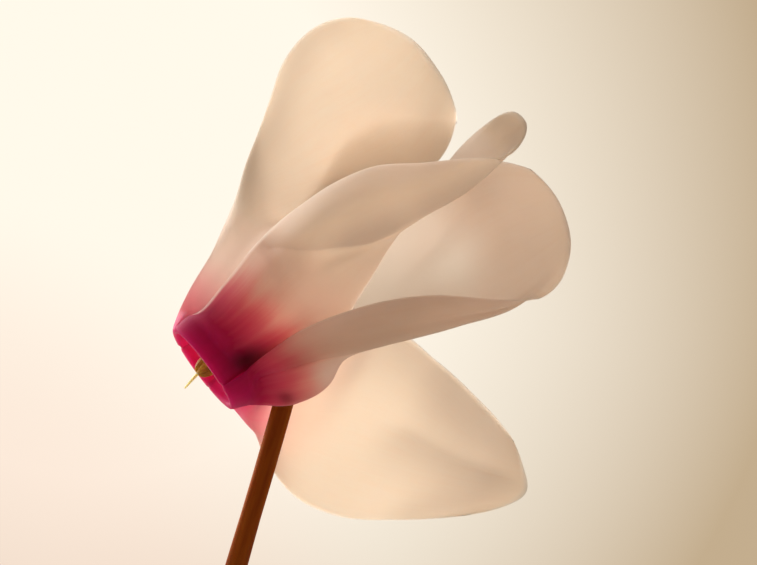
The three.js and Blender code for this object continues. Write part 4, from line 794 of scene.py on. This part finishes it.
# the other blooms
def nodding_rows(f, k, i, vary):
    th = PETAL_ANGLES[i]
    rows = tube_rows(f, th + 36, th - 36, k, over=1.0)
    for n, (s, r, w, tw, cup) in enumerate(REFLEXED):
        a = th + PETAL_PARTING[i] * float(smooth(s / 7)) + vary["turn"] * s / 40
        q = n / (len(REFLEXED) - 1)
        rr, ww, tt = r + vary["open"] * q * q, w * (1 + (vary["width"] - 1) * q), -math.radians(tw + vary["twist"] * q)
        c, er = f.at(s * k, rr * k, a), f.at(0, 1, a) - f.O
        et = np.cross(f.AX, er)
        if et @ (f.at(0, 1, a - 1) - f.at(0, 1, a)) < 0:
            et = -et
        chord, out = et * math.cos(tt) + er * math.sin(tt), er * math.cos(tt) - et * math.sin(tt)
        rows.append([c + chord * (x * ww * k) + out * (cup * k * (0.45 - x * x)) for x in (-1, -0.5, 0, 0.5, 1)])
    return rows


for n, (az, reach, z, rise, k, vary) in enumerate(BLOOMS):
    name = "bloom_%d" % (n + 2)
    h = polar(-1, az, 0)
    f = Bloom(polar(reach, az, z), V(h[0] * math.cos(math.radians(rise)), h[1] * math.cos(math.radians(rise)), math.sin(math.radians(rise))))
    mat = petal_material("petal_%s" % name, 11.0 * k, 20.0 + 3.1 * n, NEAR_STAIN)
    for i in range(5):
        petal("%s_petal_%d_look" % (name, i + 1), nodding_rows(f, k, i, vary), mat, "%s_petal_%d" % (name, i + 1), 33, 7, seed=2.0 + n * 1.9 + i * 0.7, ripple=0.35)
    calyx(name + "_calyx_look", f, k, name + "_calyx")
    tip = f.O - f.AX * 0.1 * k
    path = catmull([tip + f.AX * 1.0 * k, tip, tip - f.AX * 0.8 * k + f.FR * 0.05, tip - f.AX * 1.6 * k], 16)
    make(name + "_pistil_look", [cone_part(f, k), stem(path, np.linspace(0.24, 0.15, 17), 10, mat=1)], [M_CONE, M_STYLE], [name + "_pistil"])
    side = lambda s, r: f.at(s * k, r * k, -99)
    foot = polar(6, az, on_corm(6, 1.8) + 0.2)
    P = [foot, polar(7.6, az, 135), polar(12.5, az, 160), polar(20, az, 178), side(-3, 11.2), side(4, 9.4), side(9.5, 6.6), side(13.0, 3.2), side(12.4, 0.3), side(9.8, 0)]
    path = catmull(P, 150)
    u = np.linspace(0, 1, 151)
    make(name + "_stalk_look", [stem(path, 1.6 - 0.35 * np.clip(u * 26 / 24, 0, 1), 20, lumpy)], [M_STALK2], [name + "_stalk"])

# buds: petals still furled round one another in a spiral
M_BUD = None
for n, (az, reach, z, length, r) in enumerate(BUDS):
    foot = polar(6, az, on_corm(6, 1.7) + 0.2)
    neck, d = polar(reach, az, z - 4), unit(polar(0.42, az, -0.9))
    P = [foot, polar(7.8, az, 138), polar(12, az, z - 26), polar(reach - 5.5, az, z - 3), polar(reach - 2.6, az, z + 0.6), neck - d * 0.2]
    path = catmull(P, 110)
    u = np.linspace(0, 1, 111)
    make("bud_%d_stalk_look" % (n + 1), [stem(path, 1.45 - 0.4 * np.clip(u * 16 / 14, 0, 1), 18, lumpy)], [M_STALK2], ["bud_%d_stalk" % (n + 1)])
    uu = V(-math.sin(math.radians(az)), math.cos(math.radians(az)), 0)
    ww = np.cross(d, uu)
    O = neck + d * (GAP + 0.2 - 0.1 * length)
    s = np.linspace(0.1, 1, 60)
    prof = np.interp(s, [0.1, 0.12, 0.2, 0.3, 0.5, 0.68, 0.87, 0.95, 1.0], [0.02, 0.42, 0.68, 0.86, 1.0, 0.84, 0.46, 0.24, 0.03])
    prof = np.convolve(np.pad(prof, 2, mode="edge"), np.ones(5) / 5, mode="valid")

    def furl(R, Z, a, i, r=r, length=length):
        saw = ((5 * a / (2 * np.pi) + 1.5 * (Z / length)) % 1.0)
        return R * (0.93 + 0.11 * saw ** 2) * (1 - 0.10 * np.exp(-((saw - 0.02) / 0.05) ** 2)), Z
    if M_BUD is None:
        m = Mat("bud_rose")
        pu, ang = m.attr("pu"), m.attr("ang")
        nz = m.noise(m.vec(m.math("MULTIPLY", m.math("SINE", ang), 4.0), m.math("MULTIPLY", m.math("COSINE", ang), 4.0), m.math("MULTIPLY", pu, 2.0)), 2.0, 3, 0.6)
        t = m.math("ADD", pu, m.math("MULTIPLY", m.math("SUBTRACT", nz, 0.5), 0.3))
        m.put(m.b.inputs["Base Color"], m.ramp(t, [(0.0, (0.62, 0.10, 0.17)), (0.2, (0.84, 0.42, 0.42)), (0.5, (0.94, 0.76, 0.70)), (1.0, (0.93, 0.80, 0.68))]))
        m.set(Roughness=0.5, Subsurface_Weight=0.8, Subsurface_Scale=0.0012)
        m.b.inputs["Subsurface Radius"].default_value = (1.0, 0.6, 0.45)
        m.bump(nz, 0.4, 0.0002)
        M_BUD = m.m
    body = turned([(q * r, x * length) for q, x in zip(prof, s)], 80, (O, uu, ww, d), furl)
    cup = turned([(0.3, 0.02 * length + 0.2), (r * 0.48, 0.115 * length), (r * 0.74, 0.19 * length), (r * 0.90, 0.27 * length), (r * 0.96, 0.30 * length), (r * 0.86, 0.26 * length), (r * 0.60, 0.2 * length), (0.3, 0.14 * length)], 60, (O, uu, ww, d),
                 lambda R, Z, a, i: (R, Z - (0.5 - 0.5 * np.cos(5 * a)) * 0.10 * length * (i in (3, 4, 5))), 1)
    make("bud_%d_look" % (n + 1), [body, cup], [M_BUD, M_CALYX], ["bud_%d" % (n + 1)])


# ---- leaves ---------------------------------------------------------------------------------
_od, _or = np.array([o[0] for o in OUTLINE], float), np.array([o[1] for o in OUTLINE], float)


def outline(deg):
    a = np.abs(deg)
    r = sum(np.interp(np.clip(np.abs(a + o), 0, 168), _od, _or) for o in (-5, -2.5, 0, 2.5, 5)) / 5
    return r * (1 + 0.012 * np.sin(np.radians(deg) * 26) * smooth((165 - a) / 20))


def leaf_spec(spec, i):
    az, reach, z, size, tilt, turn = spec
    r0 = 18 if i < 7 else 13.6 if i < 13 else 9.6
    start = polar(r0, az + (2 if i % 2 else -2), on_corm(r0, PETIOLE_R * 1.2) + 0.35)
    mixv = lambda a, b, t: a + (b - a) * t
    a = polar(mixv(r0, reach, 0.2 if i < 7 else 0.14), az, mixv(start[2], z, 0.42))
    b = polar(mixv(r0, reach, 0.56 if i < 7 else 0.5), az, mixv(start[2], z, 0.83 if i < 7 else 0.8))
    return {"top": polar(reach, az, z), "size": size, "tilt": math.radians(tilt), "face": math.radians(az + turn), "dish": 2.2,
            "droop": 3.0 + (i % 3) * 0.8, "wave": 0.9, "phase": i * 1.7, "path": [start, a, b]}


VEINS = (0, 27, -27, 56, -56, 90, -90, 128, -128)
MAIN = {}
for i, spec in enumerate(LEAVES):
    L = leaf_spec(spec, i)
    if i % 6 not in MAIN:
        MAIN[i % 6] = leaf_material(i % 6 + 1)
    NA, NQ = 128, 30
    deg = np.broadcast_to(np.linspace(-168, 168, NA + 1)[:, None], (NA + 1, NQ))
    q = np.broadcast_to((np.linspace(0.012, 1, NQ) ** 0.9)[None], (NA + 1, NQ))
    R = L["size"] * outline(deg) * q
    e = R / L["size"]
    ph = np.radians(deg)
    x, y = R * np.cos(ph), R * np.sin(ph)
    # main veins fan from the petiole, side veins leave them and loop near the margin
    vein = np.zeros_like(R)
    for v in VEINS:
        bend = v + 5 * np.sin(v * 0.3 + i) * e
        off = np.radians(deg - bend) * R
        wid = 0.75 * (1.15 - q)
        vein = np.maximum(vein, np.exp(-(off / (wid + 0.12)) ** 2) * (1 - 0.35 * q))
    near = np.min([np.abs(deg - v) for v in VEINS], axis=0)
    fork = np.abs(((R * 0.24 - near * 0.045 + i * 0.3) % 1.0) - 0.5) * 2
    vein = np.maximum(vein, 0.45 * np.exp(-((1 - fork) / 0.10) ** 2) * smooth((q - 0.2) / 0.2) * smooth((1.0 - q) / 0.08))
    puff = 0.35 * (1 - np.exp(-(near / 9) ** 2)) * smooth(q / 0.3) * smooth((1.02 - q) / 0.3)
    z = L["dish"] * e * (1 - e) * 2 - L["droop"] * e * e + L["wave"] * q * q * np.sin(ph * 4 + L["phase"])
    z = z + puff - 0.30 * vein * smooth(q / 0.1) + 0.25 * noise(np.stack([x / 9 + i * 3, y / 9, np.full_like(x, i * 1.7)], -1)) * q
    c, s, ca, sa = math.cos(L["tilt"]), math.sin(L["tilt"]), math.cos(L["face"]), math.sin(L["face"])
    X, Z = x * c - z * s, x * s + z * c
    G = np.stack([L["top"][0] + X * ca - y * sa, L["top"][1] + X * sa + y * ca, L["top"][2] + Z], -1)
    half = 0.28 * (0.25 + 0.75 * smooth((1 - q) * L["size"] / 1.6)) + 0.12 * (1 - smooth(q / 0.25))
    blade = sheet(G, half, {"q": q, "phi": ph, "vein": vein, "lx": x + 40 * i, "ly": y})
    up = V(-s * ca, -s * sa, c)
    if np.mean((blade[0][:G.shape[0] * NQ] - G.reshape(-1, 3)) @ up) < 0:
        blade[2]["side"] = 1 - blade[2]["side"]
    # the petiole runs on a little way under the blade
    tipq = L["top"] + V(c * ca, c * sa, s) * (L["size"] * 0.07) - up * 0.75
    path = catmull([*L["path"], L["top"] - up * 0.95, tipq], 60)
    t = np.linspace(0, 1, 61)
    rr = PETIOLE_R * (1.1 - 0.3 * t) * (1 - 0.45 * smooth((t - 0.93) / 0.07))
    pet = stem(path, rr, 16, lumpy, 1)
    make("leaf_%02d_look" % (i + 1), [blade, pet], [MAIN[i % 6], M_PETIOLE], ["leaf_%02d" % (i + 1)])


# ---- corm, compost and pot ------------------------------------------------------------------
t = np.linspace(-np.pi / 2 + 0.02, np.pi / 2 - 0.02, 90)
def corm_shape(R, Z, a, i):
    p = np.stack([R * np.cos(a) / 7, R * np.sin(a) / 7, Z / 7], -1)
    b = 0.45 * noise(p + 5) + 0.22 * noise(p * 3.1) + 0.12 * noise(p * 8)
    return R * (1 + 0.012 * b) + 0.35 * b * (R > 1), Z + 0.25 * b
make("corm_look", [turned([((CORM_R - 0.7) * math.cos(x), CORM_Z + (CORM_H - 0.3) * math.sin(x)) for x in t], 160, None, corm_shape)], [M_CORM], ["corm"])

inner = lambda z: POT_BASE_R - POT_WALL + (POT_BODY_R - POT_BASE_R) * z / (POT_H - POT_RIM_H)
ci = lambda z: inner(z) - GAP - 0.15
rs = np.concatenate([np.linspace(0.3, ci(POT_FLOOR) - 3.4, 6), [ci(POT_FLOOR + 3)], [ci(z) for z in (30, 60, 85)], np.linspace(ci(COMPOST_Z), CORM_R - 1.5, 46)])
zs = np.concatenate([np.full(6, POT_FLOOR + GAP), [POT_FLOOR + 3.4, 30, 60, 85], np.full(46, COMPOST_Z + 0.1)])
rs, zs = np.append(rs, [CORM_R + 0.6, CORM_R - 4, 0.3]), np.append(zs, [CORM_Z, CORM_Z - 8.5, CORM_Z - CORM_H - 1.2])
def compost_shape(R, Z, a, i):
    if i < 10 or i > 55:
        return R, Z
    p = np.stack([R * np.cos(a) / 5, R * np.sin(a) / 5, np.zeros_like(R)], -1)
    b = 0.7 * noise(p * 0.5 + 3) + 0.45 * noise(p * 1.4) + 0.35 * noise(p * 4) + 0.22 * noise(p * 9)
    return R, Z + b * min(1.0, (i - 9.5) / 3)
compost = turned(list(zip(rs, zs)), 200, None, compost_shape)
rng = np.random.default_rng(5)
ico = bmesh.new()
bmesh.ops.create_icosphere(ico, subdivisions=1, radius=1.0)
iv = np.array([v.co[:] for v in ico.verts])
fi = np.array([[v.index for v in f.verts] for f in ico.faces])
ico.free()


def grains(count, lo, hi, flat, mat, r0=25.5, r1=49.5):
    P, F = [], []
    for k in range(count):
        r, a = math.sqrt(rng.uniform(r0 ** 2, r1 ** 2)), rng.uniform(0, 2 * math.pi)
        size = lo + (hi - lo) * rng.random() ** 3
        sc = size * np.array([1, rng.uniform(0.5, 0.9), rng.uniform(*flat)])
        v = iv * sc * (1 + 0.35 * (rng.random((len(iv), 1)) - 0.5))
        b, g = rng.uniform(0, 2 * math.pi), rng.uniform(-0.5, 0.5)
        v = v @ np.array([[math.cos(b), math.sin(b), 0], [-math.sin(b), math.cos(b), 0], [0, 0, 1]]) @ np.array([[1, 0, 0], [0, math.cos(g), math.sin(g)], [0, -math.sin(g), math.cos(g)]])
        P.append(v + [r * math.cos(a), r * math.sin(a), COMPOST_Z + 0.15 + 0.3 * size * rng.random()])
        F.append(fi + len(iv) * k)
    return np.concatenate(P), np.concatenate(F), {}, mat
make("compost_look", [compost, grains(1500, 0.35, 1.7, (0.4, 0.8), 0), grains(150, 0.8, 3.0, (0.2, 0.4), 1), grains(70, 0.5, 1.4, (0.6, 1.0), 2)],
     [M_COMPOST, M_BARK, M_PERLITE], ["compost"])


def rounded(points, radii, steps=6):
    out = []
    for i, p in enumerate(points):
        r = radii[i]
        if r == 0:
            out.append(tuple(p))
            continue
        p, a, b = V(*p), V(*points[i - 1]), V(*points[i + 1])
        r = min(r, np.linalg.norm(a - p) * 0.48, np.linalg.norm(b - p) * 0.48)
        A, B = p + unit(a - p) * r, p + unit(b - p) * r
        for s in np.linspace(0, 1, steps):
            out.append(tuple((1 - s) ** 2 * A + 2 * s * (1 - s) * p + s * s * B))
    return out


zr = POT_H - POT_RIM_H
prof = rounded([(0.4, 0), (POT_BASE_R, 0), (POT_BODY_R, zr), (POT_RIM_R - 1.0, zr + 0.3), (POT_RIM_R, POT_H), (inner(POT_H) + 0.1, POT_H), (inner(POT_FLOOR), POT_FLOOR), (0.4, POT_FLOOR)],
               [0, 1.6, 0.9, 1.6, 1.8, 1.7, 3.5, 0])
fine = []
for a, b in zip(prof[:-1], prof[1:]):
    k = max(1, int(math.hypot(b[0] - a[0], b[1] - a[1]) / 2.5))
    fine += [(a[0] + (b[0] - a[0]) * j / k, a[1] + (b[1] - a[1]) * j / k) for j in range(k)]
fine.append(prof[-1])
def pot_shape(R, Z, a, i):
    p = np.stack([R * np.cos(a) / 16, R * np.sin(a) / 16, Z / 16], -1)
    inside = (R < inner(1) + (Z / zr) * 13 + 1.2) & (Z > POT_FLOOR + 0.5)
    b = np.where(inside, 0.0, 0.10 * noise(p + 8) + 0.06 * noise(p * 4))
    return R + b * smooth(Z / 3), Z
pot = make("pot_look", [turned(fine, 192, None, pot_shape)], [M_POT], ["pot"])
cut = bmesh.new()
for i in range(4):
    c = polar(HOLE_RING_R, 45 + 90 * i, 3) * MM
    g = bmesh.ops.create_cone(cut, cap_ends=True, segments=48, radius1=HOLE_R * MM, radius2=HOLE_R * MM, depth=0.014)
    bmesh.ops.translate(cut, vec=Vector(c), verts=g["verts"])
cm = bpy.data.meshes.new("drain_cut")
cut.to_mesh(cm)
cut.free()
co = bpy.data.objects.new("drain_cut", cm)
scene.collection.objects.link(co)
md = pot.modifiers.new("drain", "BOOLEAN")
md.operation, md.object, md.solver = "DIFFERENCE", co, "EXACT"
dg = bpy.context.evaluated_depsgraph_get()
new = bpy.data.meshes.new_from_object(pot.evaluated_get(dg))
pot.modifiers.remove(md)
old, pot.data = pot.data, new
bpy.data.meshes.remove(old)
bpy.data.objects.remove(co)
pot.data.name = "pot_look"
md = None

# ---- floor, light and camera ----------------------------------------------------------------
m = Mat("floor_pale")
p = m.pos()
m.put(m.b.inputs["Base Color"], m.mix(m.noise(p, 3.0, 3, 0.5), (0.80, 0.765, 0.70), (0.84, 0.805, 0.745)))
m.set(Roughness=0.85)
m.b.inputs["Specular IOR Level"].default_value = 0.1
m.bump(m.noise(p, 900, 2, 0.5), 0.1, 0.0003)
xyz = m.n("ShaderNodeVectorMath", operation="LENGTH")
m.put(xyz.inputs[0], p)
fade = m.step(xyz.outputs["Value"], 0.42, 1.05)
tr, mx = m.n("ShaderNodeBsdfTransparent"), m.n("ShaderNodeMixShader")
m.put(mx.inputs[0], fade)
m.put(mx.inputs[1], m.b.outputs[0])
m.put(mx.inputs[2], tr.outputs[0])
m.put(m.nt.nodes["Material Output"].inputs["Surface"], mx.outputs[0])
bm = bmesh.new()
bmesh.ops.create_circle(bm, cap_ends=True, segments=128, radius=1.5)
fm = bpy.data.meshes.new("floor")
bm.to_mesh(fm)
bm.free()
fm.materials.append(m.m)
floor = bpy.data.objects.new("floor", fm)
floor.location = (0, 0, -0.0002)
scene.collection.objects.link(floor)

world = bpy.data.worlds.new("studio")
scene.world = world
world.use_nodes = True
nt = world.node_tree
nt.nodes.clear()
N = nt.nodes.new
out, bg_seen, bg_lit, mixs, lp = N("ShaderNodeOutputWorld"), N("ShaderNodeBackground"), N("ShaderNodeBackground"), N("ShaderNodeMixShader"), N("ShaderNodeLightPath")
tc = N("ShaderNodeTexCoord")


def toward(direction, lo, hi, kind="SMOOTHSTEP"):
    d = N("ShaderNodeVectorMath")
    d.operation = "DOT_PRODUCT"
    nt.links.new(tc.outputs["Generated"], d.inputs[0])
    d.inputs[1].default_value = tuple(unit(V(*direction)))
    r = N("ShaderNodeMapRange")
    r.interpolation_type = kind
    nt.links.new(d.outputs["Value"], r.inputs[0])
    r.inputs[1].default_value, r.inputs[2].default_value = lo, hi
    return r.outputs[0]


def blend_rgb(fac, a, b):
    x = N("ShaderNodeMix")
    x.data_type = "RGBA"
    nt.links.new(fac, x.inputs[0])
    for s, v in ((x.inputs[6], a), (x.inputs[7], b)):
        if isinstance(v, bpy.types.NodeSocket):
            nt.links.new(v, s)
        else:
            s.default_value = (*v, 1)
    return x.outputs[2]


glow = blend_rgb(toward(LOOK["bright_side"], *LOOK["seen_range"], "LINEAR"), LOOK["seen_dim"], LOOK["seen_bright"])
seen = blend_rgb(toward(LOOK["bright_side"], *LOOK["round_range"]), LOOK["seen_round"], glow)
for side, lo, hi, shade in LOOK["corners"]:
    # the backdrop falls off a little towards these sides
    x = N("ShaderNodeMix")
    x.data_type, x.blend_type = "RGBA", "MULTIPLY"
    x.inputs[7].default_value = (*shade, 1)
    nt.links.new(toward(side, lo, hi), x.inputs[0])
    nt.links.new(seen, x.inputs[6])
    seen = x.outputs[2]
nt.links.new(seen, bg_seen.inputs[0])
nt.links.new(blend_rgb(toward(LOOK["lit_side"], *LOOK["lit_range"]), LOOK["lit_dim"], LOOK["lit_bright"]), bg_lit.inputs[0])
bg_seen.inputs[1].default_value = 1.0
bg_lit.inputs[1].default_value = LOOK["lit_strength"]
nt.links.new(lp.outputs["Is Camera Ray"], mixs.inputs[0])
nt.links.new(bg_lit.outputs[0], mixs.inputs[1])
nt.links.new(bg_seen.outputs[0], mixs.inputs[2])
nt.links.new(mixs.outputs[0], out.inputs["Surface"])


def area(name, loc, target, size, power, colour):
    li = bpy.data.lights.new(name, "AREA")
    li.shape, li.size, li.size_y = "RECTANGLE", size[0], size[1]
    li.energy, li.color = power, colour
    ob = bpy.data.objects.new(name, li)
    ob.location = loc
    ob.rotation_euler = (Vector(target) - Vector(loc)).to_track_quat("-Z", "Y").to_euler()
    scene.collection.objects.link(ob)


for args in LIGHTS:
    area(*args)

cam = bpy.data.cameras.new("camera")
cam.sensor_fit, cam.sensor_width, cam.lens = "HORIZONTAL", 36.0, 36.0 * 300.0 / 94.625
cam.clip_start, cam.clip_end = 0.01, 50
co = bpy.data.objects.new("camera", cam)
co.location = (0.042, -0.310, 0.300)
co.rotation_euler = (math.radians(90), 0, 0)
scene.collection.objects.link(co)
scene.camera = co
scene.view_settings.view_transform = "Standard"
scene.view_settings.look = "None"
